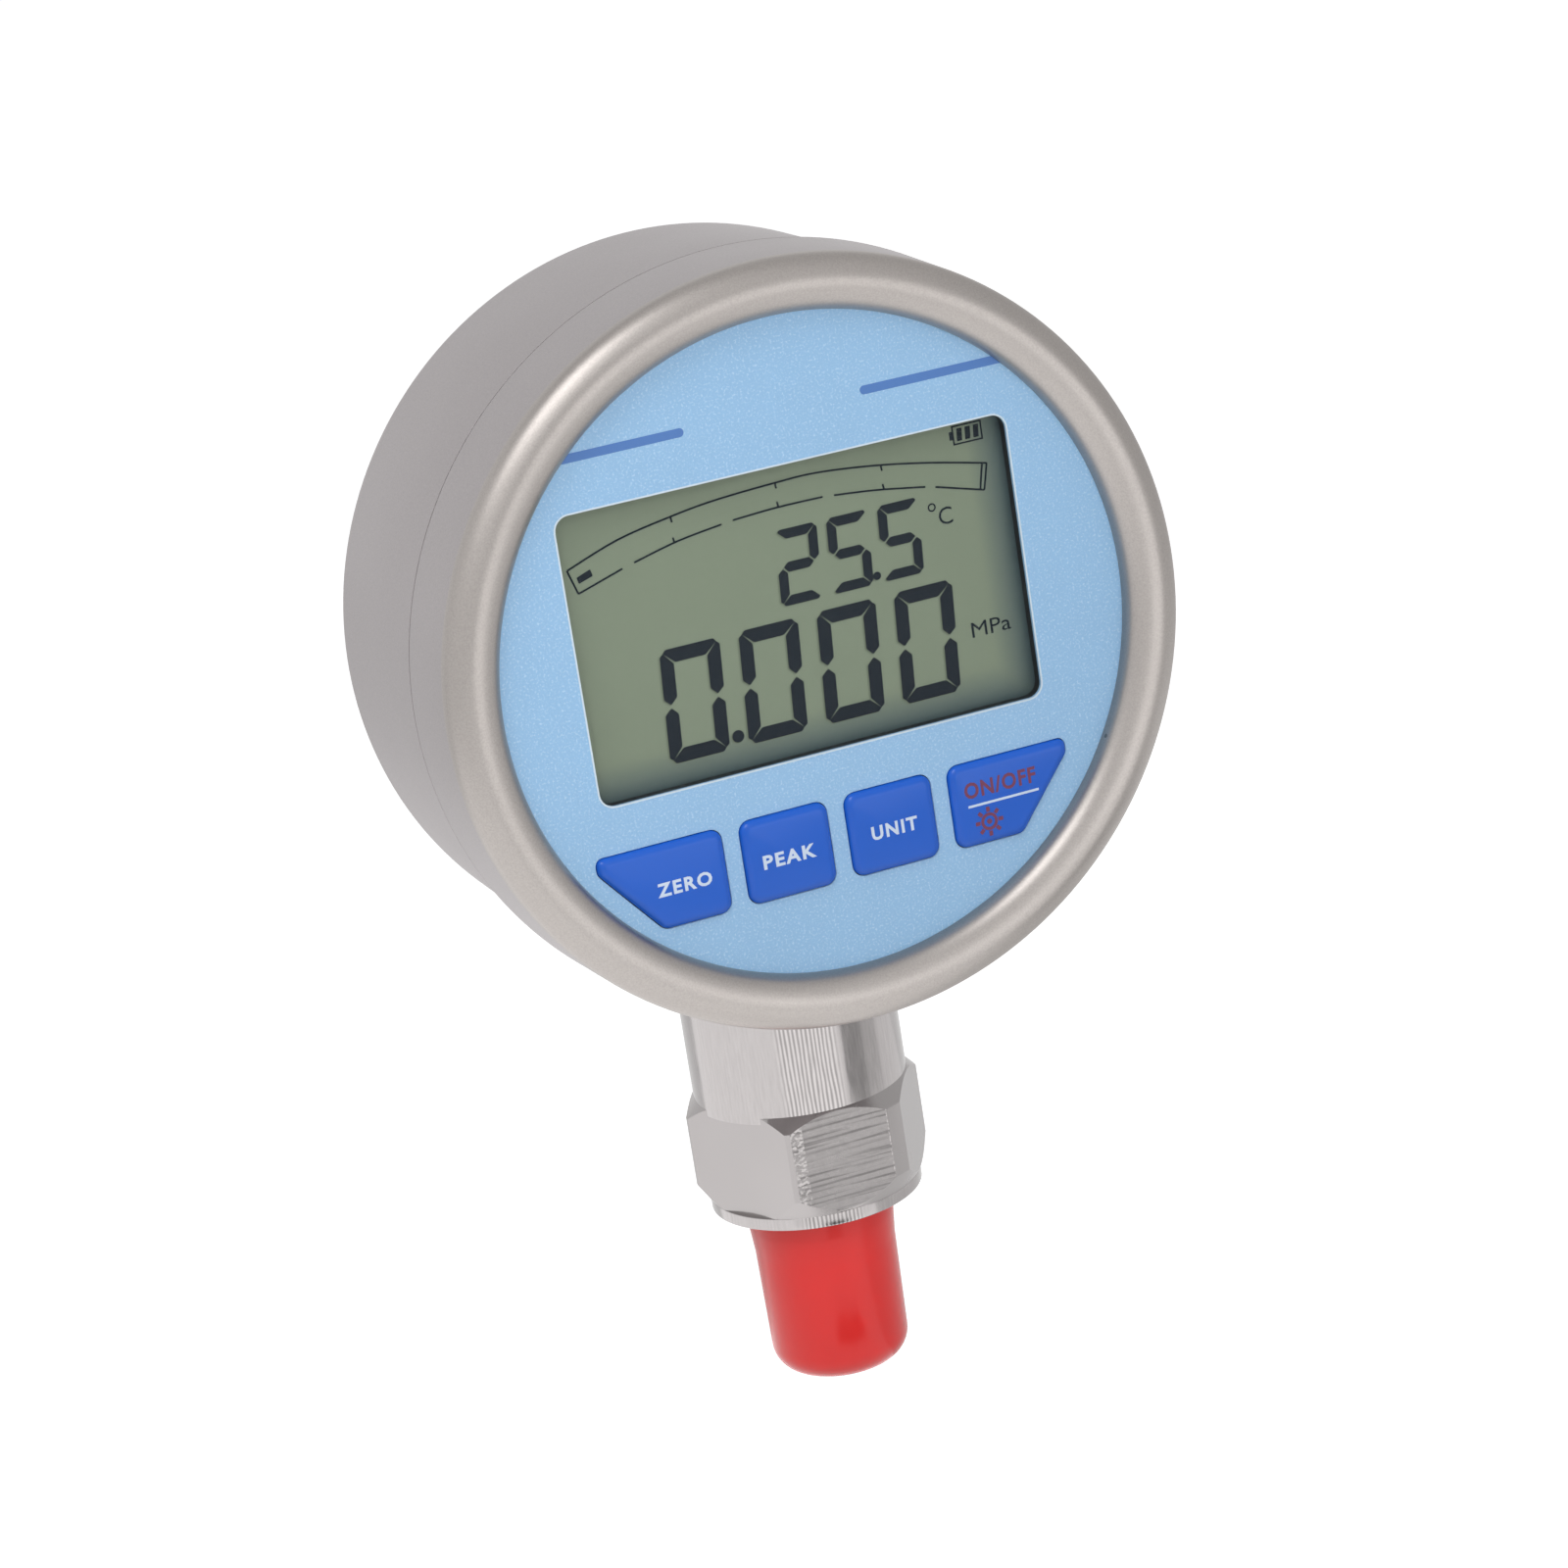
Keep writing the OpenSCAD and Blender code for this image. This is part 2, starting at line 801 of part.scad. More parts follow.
// Cells lie across the tray, every second one turned round
module battery_cells() {
    nub_r = cell_d / 5;
    nub_h = cell_d / 12;
    color("goldenrod")
        head()
            for (row = [-1, 0, 1])
                translate([0, tray_z + row * cell_pitch, -cell_depth])
                    rotate([0, row == 0 ? 90 : -90, 0]) {
                        translate([0, 0, -cell_x])
                            cylinder(r = cell_d / 2, h = cell_len - nub_h, $fn = 64);
                        translate([0, 0, cell_x - nub_h])
                            cylinder(r = nub_r, h = nub_h, $fn = 32);
                    }
}

module contact_plates() {
    color("gold")
        head()
            for (side = [-1, 1], row = [-1, 0, 1])
                translate([side * (tray_w / 2 - tray_wall - plate_thick / 2), tray_z + row * cell_pitch])
                    slab(tray_d + tray_wall, tray_d + tray_wall + cell_d)
                        square([plate_thick, cell_d - 2 * cell_slip], center = true);
}

// Leaf springs between each plate and the end of its cell: a strip folded in two
module contact_springs() {
    leaf_h = cell_d / 2;
    foot = tray_w / 2 - tray_wall - plate_thick;
    color("gold")
        head()
            for (side = [-1, 1], row = [-1, 0, 1])
                translate([0, tray_z + row * cell_pitch + leaf_h / 4, -cell_depth])
                    rotate([90, 0, 0])
                        linear_extrude(height = leaf_h / 2)
                            polygon([[side * foot, -leaf_h / 2], [side * (foot - plate_thick), -leaf_h / 2],
                                [side * cell_x, -plate_thick], [side * cell_x, plate_thick],
                                [side * (foot - plate_thick), leaf_h / 2], [side * foot, leaf_h / 2],
                                [side * (cell_x + plate_thick), 0]]);
}

module cover_gasket() {
    color("dimgray")
        head()
            difference() {
                slab(case_depth, case_depth + gasket_t)
                    translate([0, tray_z])
                        difference() {
                            rounded_box(cover_w - gasket_t, cover_h - gasket_t, cover_r);
                            rounded_box(door_w, door_h, door_margin + tray_wall);
                        }
                cover_screw_places()
                    translate([0, 0, -case_depth - gasket_t - cut])
                        cylinder(r = cover_screw_r + slip, h = gasket_t + 2 * cut, $fn = 32);
            }
}

module battery_cover() {
    color("silver")
        head()
            difference() {
                slab(case_depth + gasket_t, case_depth + gasket_t + cover_t)
                    translate([0, tray_z])
                        rounded_box(cover_w, cover_h, cover_r);
                cover_screw_places()
                    translate([0, 0, -case_depth - gasket_t - cover_t - cut])
                        cylinder(r = cover_screw_r + slip, h = cover_t + 2 * cut, $fn = 32);
            }
}

module cover_screws() {
    back = case_depth + gasket_t + cover_t;
    color("silver")
        head()
            cover_screw_places()
                difference() {
                    union() {
                        translate([0, 0, -back - cover_head_h])
                            cylinder(r = cover_head_r, h = cover_head_h, $fn = 48);
                        translate([0, 0, -back])
                            cylinder(r = cover_screw_r, h = back - tray_back + cover_screw_len, $fn = 32);
                    }
                    cross_slot(back + cover_head_h, cover_head_r, cover_head_h);
                }
}

// Lathe outline of the hexagon: a steep chamfer below, a flatter one above
module hex_bar() {
    bar_r = hex_bar_d / 2;
    rotate_extrude()
        polygon([[0, hex_z], [collar_d / 2, hex_z], [bar_r, hex_z + low_chamfer],
            [bar_r, neck_z - top_chamfer], [neck_d / 2, neck_z], [0, neck_z]]);
}
module hex_prism() {
    rotate(hex_turn)
        difference() {
            linear_extrude(height = neck_z)
                circle(r = flat_r / cos(30), $fn = 6);
            rotate(deep_flat_turn)
                translate([-hex_bar_d, -flat_r + deep_flat - hex_bar_d, -cut])
                    cube([2 * hex_bar_d, hex_bar_d, neck_z + 2 * cut]);
        }
}

// Thread as grooves around the shank, then the relief, and the nose below
module thread_shank() {
    crests = [for (i = [0 : turns - 1]) -relief_len - i * thread_pitch];
    rotate_extrude()
        polygon(concat([[0, 0], [thread_root_r, 0], [thread_root_r, -relief_len + thread_depth / 2]],
            [for (z = crests, step = [0 : 2])
                step == 0 ? [thread_r, z - thread_pitch / 4] : step == 1 ? [thread_r, z - thread_pitch / 2]
                    : [thread_root_r, z - thread_pitch]],
            [[thread_root_r, -thread_len], [nose_r, -thread_len], [nose_r, -thread_len - nose_len + nose_edge],
                [nose_r - nose_edge, -thread_len - nose_len], [0, -thread_len - nose_len]]));
}

module process_stem() {
    color("lightgray")
        difference() {
            union() {
                cylinder(r = collar_d / 2, h = collar_h);
                intersection() {
                    hex_bar();
                    hex_prism();
                }
                difference() {
                    translate([0, 0, neck_z])
                        cylinder(r = neck_d / 2, h = neck_top - neck_z);
                    head()
                        drum(case_r + slip / 2, -cut, case_depth + slip / 2, back_edge_r + slip / 2);
                }
                translate([0, 0, neck_z])
                    cylinder(r = core_r, h = core_top - neck_z);
                thread_shank();
            }
            translate([0, 0, -thread_len - nose_len - cut])
                cylinder(r = port_r, h = thread_len + nose_len + cavity_z + 2 * cut, $fn = 48);
            translate([0, 0, cavity_z])
                cylinder(r = cavity_r, h = cavity_depth + cut);
        }
}

// The space inside the rear case, less a skin: seal, saddle and nut stay inside it
module inside_case(skin) {
    head()
        drum(case_in_r - skin, seam_depth, case_depth - case_wall, back_edge_r - case_wall);
}
module clamp_ring(top) {
    difference() {
        translate([0, 0, head_height - case_in_r])
            cylinder(r = clamp_r, h = top - head_height + case_in_r);
        translate([0, 0, head_height - case_r])
            cylinder(r = core_r + slip, h = top - head_height + case_r + cut);
    }
}
module stem_seal() {
    color("black")
        difference() {
            intersection() {
                clamp_ring(clamp_top);
                inside_case(running);
            }
            inside_case(seal_t);
        }
}
module clamp_saddle() {
    color("silver")
        intersection() {
            clamp_ring(clamp_top);
            inside_case(seal_t + running);
        }
}
module lock_nut() {
    color("silver")
        translate([0, 0, clamp_top])
            difference() {
                cylinder(r = clamp_r, h = nut_h);
                translate([0, 0, -cut])
                    cylinder(r = core_r + running, h = nut_h + 2 * cut);
                for (a = [45 : 90 : 315])
                    rotate(a)
                        translate([clamp_r - nut_slot_depth, -nut_slot / 2, -cut])
                            cube([2 * nut_slot_depth, nut_slot, nut_h + 2 * cut]);
            }
}

module sensor_capsule() {
    color("silver")
        translate([0, 0, sensor_z]) {
            cylinder(r = sensor_r, h = sensor_h);
            cylinder(r = pin_block_r, h = sensor_h + pin_block_h);
        }
}
module sensor_o_ring() {
    color("black")
        translate([0, 0, cavity_z + o_ring_d / 2])
            rotate_extrude()
                translate([o_ring_r, 0])
                    circle(r = o_ring_d / 2, $fn = 24);
}
module sensor_retainer() {
    color("silver")
        translate([0, 0, sensor_z + sensor_h])
            difference() {
                cylinder(r = sensor_r, h = retainer_h);
                translate([0, 0, -cut])
                    cylinder(r = retainer_in_r, h = retainer_h + 2 * cut);
            }
}

// Push-on cap: straight where it grips the thread, then tapering to a round-edged closed end
module thread_cap() {
    end_r = cap_r - cap_step - cap_taper;
    inner_end_r = cap_end_r - cap_body_wall;
    inside_r = end_r - cap_body_wall;
    floor_z = -cap_len + cap_wall;
    color("red")
        rotate_extrude()
            difference() {
                polygon(concat([[0, -cap_gap], [cap_r, -cap_gap], [cap_r - cap_band_slope, -cap_band],
                    [cap_r - cap_step, -2 * cap_band]],
                    [for (i = [0 : cap_steps]) [end_r - cap_end_r + cap_end_r * cos(90 * i / cap_steps),
                        -cap_len + cap_end_r - cap_end_r * sin(90 * i / cap_steps)]], [[0, -cap_len]]));
                polygon(concat([[-cut, cut], [cap_in_r, cut], [cap_in_r, -cap_grip]],
                    [for (i = [0 : cap_steps]) [inside_r - inner_end_r + inner_end_r * cos(90 * i / cap_steps),
                        floor_z + inner_end_r - inner_end_r * sin(90 * i / cap_steps)]], [[-cut, floor_z]]));
            }
}

rear_case();
front_ring();
ring_seal();
face_sheet();
face_plate();
window_pane();
display_frame();
display_glass();
backlight();
contact_strips();
key_zero();
key_peak();
key_unit();
key_power();
plunger_zero();
plunger_peak();
plunger_unit();
plunger_power();
switch_bodies();
main_board();
board_screws();
board_chips();
board_headers();
sensor_plug();
battery_plug();
sensor_lead();
battery_lead();
battery_tray();
battery_cells();
contact_plates();
contact_springs();
cover_gasket();
battery_cover();
cover_screws();
process_stem();
stem_seal();
clamp_saddle();
lock_nut();
sensor_capsule();
sensor_o_ring();
sensor_retainer();
thread_cap();
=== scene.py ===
"""Looks of a digital pressure gauge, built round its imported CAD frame."""

import json
import math

import bmesh
import bpy
from bpy.props import FloatProperty, FloatVectorProperty, PointerProperty
from mathutils import Matrix, Vector
from mathutils.geometry import tessellate_polygon


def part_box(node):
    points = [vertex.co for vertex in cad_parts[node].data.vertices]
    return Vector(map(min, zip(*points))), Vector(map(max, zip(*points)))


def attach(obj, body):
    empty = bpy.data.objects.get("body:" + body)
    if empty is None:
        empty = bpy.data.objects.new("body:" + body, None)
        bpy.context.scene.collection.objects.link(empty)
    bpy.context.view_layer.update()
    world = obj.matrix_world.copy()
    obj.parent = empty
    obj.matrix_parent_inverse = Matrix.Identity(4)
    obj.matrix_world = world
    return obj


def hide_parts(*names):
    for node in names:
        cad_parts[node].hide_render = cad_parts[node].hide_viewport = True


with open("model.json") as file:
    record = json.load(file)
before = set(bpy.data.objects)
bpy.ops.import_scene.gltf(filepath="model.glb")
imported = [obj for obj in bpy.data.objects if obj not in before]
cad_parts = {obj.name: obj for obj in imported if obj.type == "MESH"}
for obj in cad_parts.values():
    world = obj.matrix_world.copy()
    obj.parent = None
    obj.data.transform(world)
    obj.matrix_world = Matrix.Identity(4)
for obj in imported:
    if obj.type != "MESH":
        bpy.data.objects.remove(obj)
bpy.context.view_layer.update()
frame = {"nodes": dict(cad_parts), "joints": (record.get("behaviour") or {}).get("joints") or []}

bl_info = {
    "name": "Digital pressure gauge",
    "version": (1, 0, 0),
    "blender": (4, 5, 0),
    "location": "3D View > Sidebar > Gauge",
    "description": "Dresses a digital pressure gauge: steel, face print, display, keys and cap",
    "category": "Object",
}

MM = 0.001
BODY = "gauge"
KEYS = ("key_zero", "key_peak", "key_unit", "key_power")
KEY_BODIES = ("zero_key", "peak_key", "unit_key", "power_key")


def corners(name):
    """Lowest and highest corner of a node, in millimetres."""
    low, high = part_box(name)
    return low / MM, high / MM


RING_LOW, RING_HIGH = corners("front_ring")
CASE_LOW, CASE_HIGH = corners("rear_case")
SHEET_LOW, SHEET_HIGH = corners("face_sheet")
PANE_LOW, PANE_HIGH = corners("window_pane")
COVER_LOW, COVER_HIGH = corners("battery_cover")
CAP_LOW, CAP_HIGH = corners("thread_cap")
STEM_END = corners("process_stem")[0].z
DIAL_Z = (RING_LOW.z + RING_HIGH.z) / 2
FACE_Y = SHEET_LOW.y
SEAM_DEPTH = RING_HIGH.y - FACE_Y
CASE_DEPTH = CASE_HIGH.y - FACE_Y
GLASS_DEPTH = corners("display_glass")[0].y - FACE_Y
CASE_R = (CASE_HIGH.x - CASE_LOW.x) / 2
RING_R = (RING_HIGH.x - RING_LOW.x) / 2
SHEET_R = (SHEET_HIGH.x - SHEET_LOW.x) / 2
CAP_R = (CAP_HIGH.x - CAP_LOW.x) / 2

# Heights along the stem over its sealing shoulder, in millimetres
HEX_LOW, HEX_LOW_CORNER, HEX_HIGH_CORNER, HEX_HIGH = 1.9, 5.2, 16.0, 18.1
NECK_TOP = 43.6
THREAD_END = -20.0
HEX_FRONT = -93.0  # turn of the hexagon's front flat, in degrees
LEFT_FLAT = 5  # place of the deeper flat, counted round from the front one


# Sizes and colours


def millimetres(name, text, value):
    """A length property, held in millimetres."""
    return FloatProperty(name=name, description=text, default=value, soft_min=0, precision=3)


def colour(name, text, value):
    """A colour property, held in linear light."""
    return FloatVectorProperty(name=name, description=text, default=value, size=3,
                               subtype="COLOR", min=0, max=1)


class GAUGE_PG_sizes(bpy.types.PropertyGroup):
    """Sizes that the frame doesn't give, in millimetres."""

    shoulder_r: millimetres("Shoulder radius", "Outermost radius of the ring's shoulder", 54.85)
    view_r: millimetres("Clear radius", "Radius of the face that the ring leaves free", 46.86)
    back_edge_r: millimetres("Back edge", "Radius of the drum's rounded back edge", 4.4)
    window_lap: millimetres("Window lap", "How far the pane reaches behind the sheet", 1.05)
    window_r: millimetres("Window corner", "Corner radius of the window", 2.1)
    key_gap: millimetres("Key gap", "Gap round a key in the face sheet", 0.12)
    key_lap: millimetres("Key flange", "Width of a key's flange behind the face", 0.9)
    key_edge: millimetres("Key edge", "Width of the rounded edge on top of a key", 1.15)
    key_corner_r: millimetres("Key corner", "Corner radius of a key", 1.7)
    neck_r: millimetres("Neck radius", "Radius of the stem's neck", 16.2)
    hex_bar_r: millimetres("Bar radius", "Radius of the bar the hexagon is cut from", 18.1)
    hex_flat: millimetres("Flat distance", "Distance from the stem's axis to a flat", 16.4)
    deep_flat: millimetres("Deep flat", "Distance from the stem's axis to the left flat", 15.3)
    collar_r: millimetres("Collar radius", "Radius of the sealing collar", 16.1)
    thread_r: millimetres("Thread radius", "Outer radius of the thread", 10.0)
    thread_pitch: millimetres("Thread pitch", "Pitch of the thread", 1.5)
    cap_wall: millimetres("Cap wall", "Wall at the cap's rim", 1.1)


class GAUGE_PG_colours(bpy.types.PropertyGroup):
    """Main colours of the gauge."""

    case: colour("Case steel", "Bead-blasted steel of the case", (0.380, 0.355, 0.359))
    ring: colour("Ring steel", "Satin steel of the front ring", (0.387, 0.359, 0.342))
    stem: colour("Stem steel", "Machined steel of the stem", (0.375, 0.355, 0.352))
    face: colour("Face", "Light blue of the face sheet", (0.278, 0.494, 0.745))
    stripe: colour("Stripe", "Dark blue of the printed stripes", (0.055, 0.17, 0.47))
    key: colour("Key", "Blue of the keys", (0.006, 0.105, 0.58))
    display: colour("Display", "Ground of the display", (0.236, 0.288, 0.205))
    ink: colour("Segments", "Dark segments of the display", (0.012, 0.018, 0.026))
    legend: colour("Legend", "White legends on the keys", (0.60, 0.70, 0.84))
    warning: colour("On and off", "Red legend on the last key", (0.14, 0.016, 0.06))
    cap: colour("Cap", "Soft red plastic of the cap", (0.87, 0.019, 0.016))


def sizes():
    return bpy.context.scene.gauge_sizes


# Outlines: lists of (x, z) in millimetres


def polar(radius, degrees):
    turn = math.radians(degrees)
    return Vector((radius * math.cos(turn), radius * math.sin(turn)))


def polygon(*points):
    return [Vector(p) for p in points]


def rectangle(x0, z0, x1, z1):
    return polygon((x0, z0), (x1, z0), (x1, z1), (x0, z1))


def disc(centre, radius, count=20):
    return [Vector(centre) + polar(radius, 360 * i / count) for i in range(count)]


def eased(points, radius, steps=6, closed=True):
    """The outline with its corners rounded; radius is one number or one for each corner."""
    count = len(points)
    radii = radius if isinstance(radius, (list, tuple)) else [radius] * count
    straight, longest_share = math.pi - 0.001, 0.48
    out = []
    for i, here in enumerate(points):
        here = Vector(here)
        u, w = Vector(points[i - 1]) - here, Vector(points[(i + 1) % count]) - here
        is_end = not closed and i in (0, count - 1)
        if is_end or radii[i] <= 0 or u.angle(w) > straight:
            out.append(here)
            continue
        half = u.angle(w) / 2
        r = min(radii[i], longest_share * min(u.length, w.length) * math.tan(half))
        reach = r / math.tan(half)
        u.normalize()
        w.normalize()
        middle = here + (u + w).normalized() * r / math.sin(half)
        first, last = here + u * reach - middle, here + w * reach - middle
        sweep = first.angle_signed(last)
        for step in range(steps + 1):
            turned = first.copy()
            turned.rotate(Matrix.Rotation(-sweep * step / steps, 2))
            out.append(middle + turned)
    return out


def grown(outline, by):
    """The outline moved outwards by a distance, corner by corner."""
    shortest, sharpest = 1e-6, 0.3
    out = []
    for i, here in enumerate(outline):
        u, w = here - outline[i - 1], outline[(i + 1) % len(outline)] - here
        if u.length < shortest or w.length < shortest:
            out.append(here.copy())
            continue
        before, after = Vector((u.y, -u.x)).normalized(), Vector((w.y, -w.x)).normalized()
        outwards = (before + after).normalized()
        out.append(here + outwards * by / max(sharpest, outwards.dot(before)))
    return out


def flowing(points, steps=5):
    """A smooth line through the points."""
    out = []
    last = len(points) - 1
    for i in range(last):
        a, b, c, d = (Vector(points[min(max(k, 0), last)]) for k in (i - 1, i, i + 1, i + 2))
        for step in range(steps):
            t = step / steps
            out.append(0.5 * (2 * b + (c - a) * t + (2 * a - 5 * b + 4 * c - d) * t * t
                              + (3 * b - a - 3 * c + d) * t * t * t))
    out.append(Vector(points[-1]))
    return out


def worn(points, spread=0.3, spacing=0.1):
    """A line with its corners worn round by averaging over a spread to each side."""
    out = [Vector(points[0])]
    for a, b in zip(points, points[1:]):
        a, b = Vector(a), Vector(b)
        count = max(1, round((b - a).length / spacing))
        out += [a.lerp(b, (i + 1) / count) for i in range(count)]
    for _ in range(round(2 * (spread / spacing) ** 2)):
        inner = [(a + 2 * b + c) / 4 for a, b, c in zip(out, out[1:], out[2:])]
        out = [out[0], *inner, out[-1]]
    return out


def line_shape(points, width):
    """The outline of a drawn line."""
    left, right = [], []
    for i, here in enumerate(points):
        here = Vector(here)
        way = Vector(points[min(i + 1, len(points) - 1)]) - Vector(points[max(i - 1, 0)])
        way.normalize()
        side = Vector((-way.y, way.x)) * width / 2
        left.append(here + side)
        right.append(here - side)
    return left + right[::-1]


def box_outline(low, high, lap, radius):
    """The rounded outline of a node's box on the head, drawn in by a lap."""
    return eased(rectangle(low.x + lap, low.z + lap - DIAL_Z,
                           high.x - lap, high.z - lap - DIAL_Z), radius)


def key_outline(i, inset=0.0):
    """Outline of a key on the face, drawn in by an inset; the outer keys have a slanted side."""
    s = sizes()
    low, high = corners(KEYS[i])
    x0, x1 = low.x + s.key_lap, high.x - s.key_lap
    z0, z1 = low.z + s.key_lap - DIAL_Z, high.z - s.key_lap - DIAL_Z
    foot_share, side_share, corner_share = 0.554, 0.18, 0.7
    foot, side = foot_share * (x1 - x0), side_share * (z1 - z0)
    shape = rectangle(x0, z0, x1, z1)
    if KEYS[i] == "key_zero":
        shape = polygon((x1 - foot, z0), (x1, z0), (x1, z1), (x0, z1), (x0, z1 - side))
    if KEYS[i] == "key_power":
        shape = polygon((x0, z0), (x0 + foot, z0), (x1, z1 - side), (x1, z1), (x0, z1))
    return eased(grown(shape, -inset), s.key_corner_r - corner_share * inset)


# Meshes


def on_head(x, z, out=0.0):
    """A place on the head: x and z from the dial centre, out from the face, in millimetres."""
    return Vector((x, FACE_Y - out, DIAL_Z + z)) * MM


def round_head(radius, along, degrees):
    side = polar(radius, degrees)
    return on_head(side.x, side.y, along)


def round_stem(radius, along, degrees):
    side = polar(radius, degrees)
    return Vector((side.x, side.y, along)) * MM


def merge_and_orient(mesh, distance=1e-7):
    """Joins doubled points and turns every face outwards."""
    work = bmesh.new()
    work.from_mesh(mesh)
    bmesh.ops.remove_doubles(work, verts=work.verts, dist=distance)
    bmesh.ops.dissolve_degenerate(work, edges=work.edges, dist=distance)
    bmesh.ops.recalc_face_normals(work, faces=work.faces)
    work.to_mesh(mesh)
    work.free()


def new_piece(name, verts, faces, finish_name, body=BODY, slot=None, smooth=40):
    """A mesh that rides on a body; smooth is the angle in degrees up to which edges look round."""
    mesh = bpy.data.meshes.new(name)
    mesh.from_pydata([tuple(v) for v in verts], [], faces)
    mesh.validate()
    merge_and_orient(mesh)
    mesh.polygons.foreach_set("use_smooth", [smooth > 0] * len(mesh.polygons))
    if smooth > 0:
        mesh.set_sharp_from_angle(angle=math.radians(smooth))
    mesh.update()
    piece = bpy.data.objects.new(name, mesh)
    bpy.context.scene.collection.objects.link(piece)
    mesh.materials.append(FINISHES[finish_name])
    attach(piece, body)
    return piece


def column_faces(columns, rows, closed=False):
    """Quads between columns of points that stand side by side once round an axis."""
    faces = []
    for i in range(columns):
        a, b = i * rows, (i + 1) % columns * rows
        for k in range(rows if closed else rows - 1):
            m = (k + 1) % rows
            faces.append((a + k, b + k, b + m, a + m))
    return faces


def row_faces(count, rows, base=0):
    """Quads between rows of points that each go once round."""
    faces = []
    for row in range(rows - 1):
        a, b = base + row * count, base + (row + 1) * count
        for i in range(count):
            j = (i + 1) % count
            faces.append((a + i, a + j, b + j, b + i))
    return faces


def lathe(name, profile, place, finish_name, turns=192, closed=False, **options):
    """Turns a profile of (radius, along) round an axis; place gives each point."""
    verts = [place(max(radius, 0.0), along, 360 * i / turns)
             for i in range(turns) for radius, along in profile]
    return new_piece(name, verts, column_faces(turns, len(profile), closed), finish_name,
                     **options)


def edge_levels(width, foot, top, steps):
    """Inset and height of each level up a rounded edge."""
    turns = [math.pi / 2 * k / steps for k in range(steps + 1)]
    return [(width * (1 - math.cos(t)), foot + (top - foot) * math.sin(t)) for t in turns]


def built_up(name, outline_at, levels, finish_name, **options):
    """A solid on the head from levels of (inset, height); outline_at(inset) gives each outline."""
    verts = [on_head(p.x, p.y, out) for inset, out in levels for p in outline_at(inset)]
    count = len(outline_at(0.0))
    last = (len(levels) - 1) * count
    faces = row_faces(count, len(levels))
    faces += [tuple(range(last, last + count)), tuple(range(count - 1, -1, -1))]
    return new_piece(name, verts, faces, finish_name, **options)


def plates(name, shapes, levels, finish_name, **options):
    """Plates on the head; a shape is an outline and its holes, a level its inset and height."""
    verts, faces = [], []
    for loops in shapes:
        drawn = [[grown(loop, inset if n else -inset) if inset else loop
                  for n, loop in enumerate(loops)] for inset, _ in levels]
        for n, loop in enumerate(loops):
            faces += row_faces(len(loop), len(levels), len(verts))
            verts += [on_head(p.x, p.y, out)
                      for at, (_, out) in zip(drawn, levels) for p in at[n]]
        for k in (0, -1):
            flat = [[Vector((p.x, p.y, 0)) for p in loop] for loop in drawn[k]]
            base = len(verts)
            verts += [on_head(p.x, p.y, levels[k][1]) for loop in flat for p in loop]
            faces += [tuple(base + v for v in t) for t in tessellate_polygon(flat)]
    return new_piece(name, verts, faces, finish_name, **options)


def ink(name, shapes, out, finish_name, thickness=0.03, **options):
    """Thin printed shapes on the head, as one piece."""
    return plates(name, shapes, [(0.0, out), (0.0, out + thickness)], finish_name, smooth=0,
                  **options)


def letters(name, text, height, width, centre, out, finish_name, bold=0.028, spacing=1.12,
            **options):
    """Plain lettering of a capital height and a width, centred on a place of the head."""
    curve = bpy.data.curves.new(name, "FONT")
    curve.body, curve.size, curve.resolution_u = text, 1, 3
    curve.offset, curve.space_character = bold, spacing
    shape = bpy.data.objects.new(name + "_shape", curve)
    bpy.context.scene.collection.objects.link(shape)
    mesh = evaluated_mesh(shape)
    bpy.data.objects.remove(shape)
    bpy.data.curves.remove(curve)
    xs, ys = zip(*(v.co.xy for v in mesh.vertices))
    left, right, low, high = min(xs), max(xs), min(ys), max(ys)
    across, upward = width / (right - left), height / (high - low)
    verts = [on_head(centre[0] + (x - (left + right) / 2) * across,
                     centre[1] + (y - (low + high) / 2) * upward, out) for x, y in zip(xs, ys)]
    faces = [tuple(p.vertices) for p in mesh.polygons]
    bpy.data.meshes.remove(mesh)
    return new_piece(name, verts, faces, finish_name, smooth=0, **options)


def evaluated_mesh(shape):
    """The mesh of an object with its modifiers or its curve worked out."""
    bpy.context.view_layer.update()
    ready = shape.evaluated_get(bpy.context.evaluated_depsgraph_get())
    return bpy.data.meshes.new_from_object(ready)


def softened(piece, width):
    """Eases the sharp edges of a piece and keeps its flat faces flat."""
    soft = piece.modifiers.new("edge", "BEVEL")
    soft.width, soft.segments = width * MM, 2
    soft.limit_method, soft.angle_limit = "ANGLE", math.radians(12)
    soft.use_clamp_overlap = True
    level = piece.modifiers.new("level", "WEIGHTED_NORMAL")
    level.mode, level.weight, level.keep_sharp = "FACE_AREA", 100, False
    piece.data.polygons.foreach_set("use_smooth", [True] * len(piece.data.polygons))
    mesh = evaluated_mesh(piece)
    piece.modifiers.clear()
    piece.data = mesh


# Shader groups and finishes

GROUPS = {}
FINISHES = {}


def node(tree, kind, *links, **values):
    """A node with its settings, and each socket linked to a source or set to a value."""
    made = tree.nodes.new("ShaderNode" + kind)
    for key, value in values.items():
        setattr(made, key, value)
    for socket, source in links:
        if isinstance(source, bpy.types.NodeSocket):
            tree.links.new(source, made.inputs[socket])
        else:
            made.inputs[socket].default_value = source
    return made


def calc(tree, operation, *sources, clamp=False):
    """The result of a Math node."""
    return node(tree, "Math", *enumerate(sources), operation=operation,
                use_clamp=clamp).outputs[0]


def noise(tree, place, scale, detail, stretch=None):
    """Noise at a place, which a factor for each axis can stretch."""
    if stretch:
        place = node(tree, "VectorMath", (0, place), (1, stretch), operation="MULTIPLY").outputs[0]
    return node(tree, "TexNoise", ("Vector", place), ("Scale", scale),
                ("Detail", detail)).outputs[0]


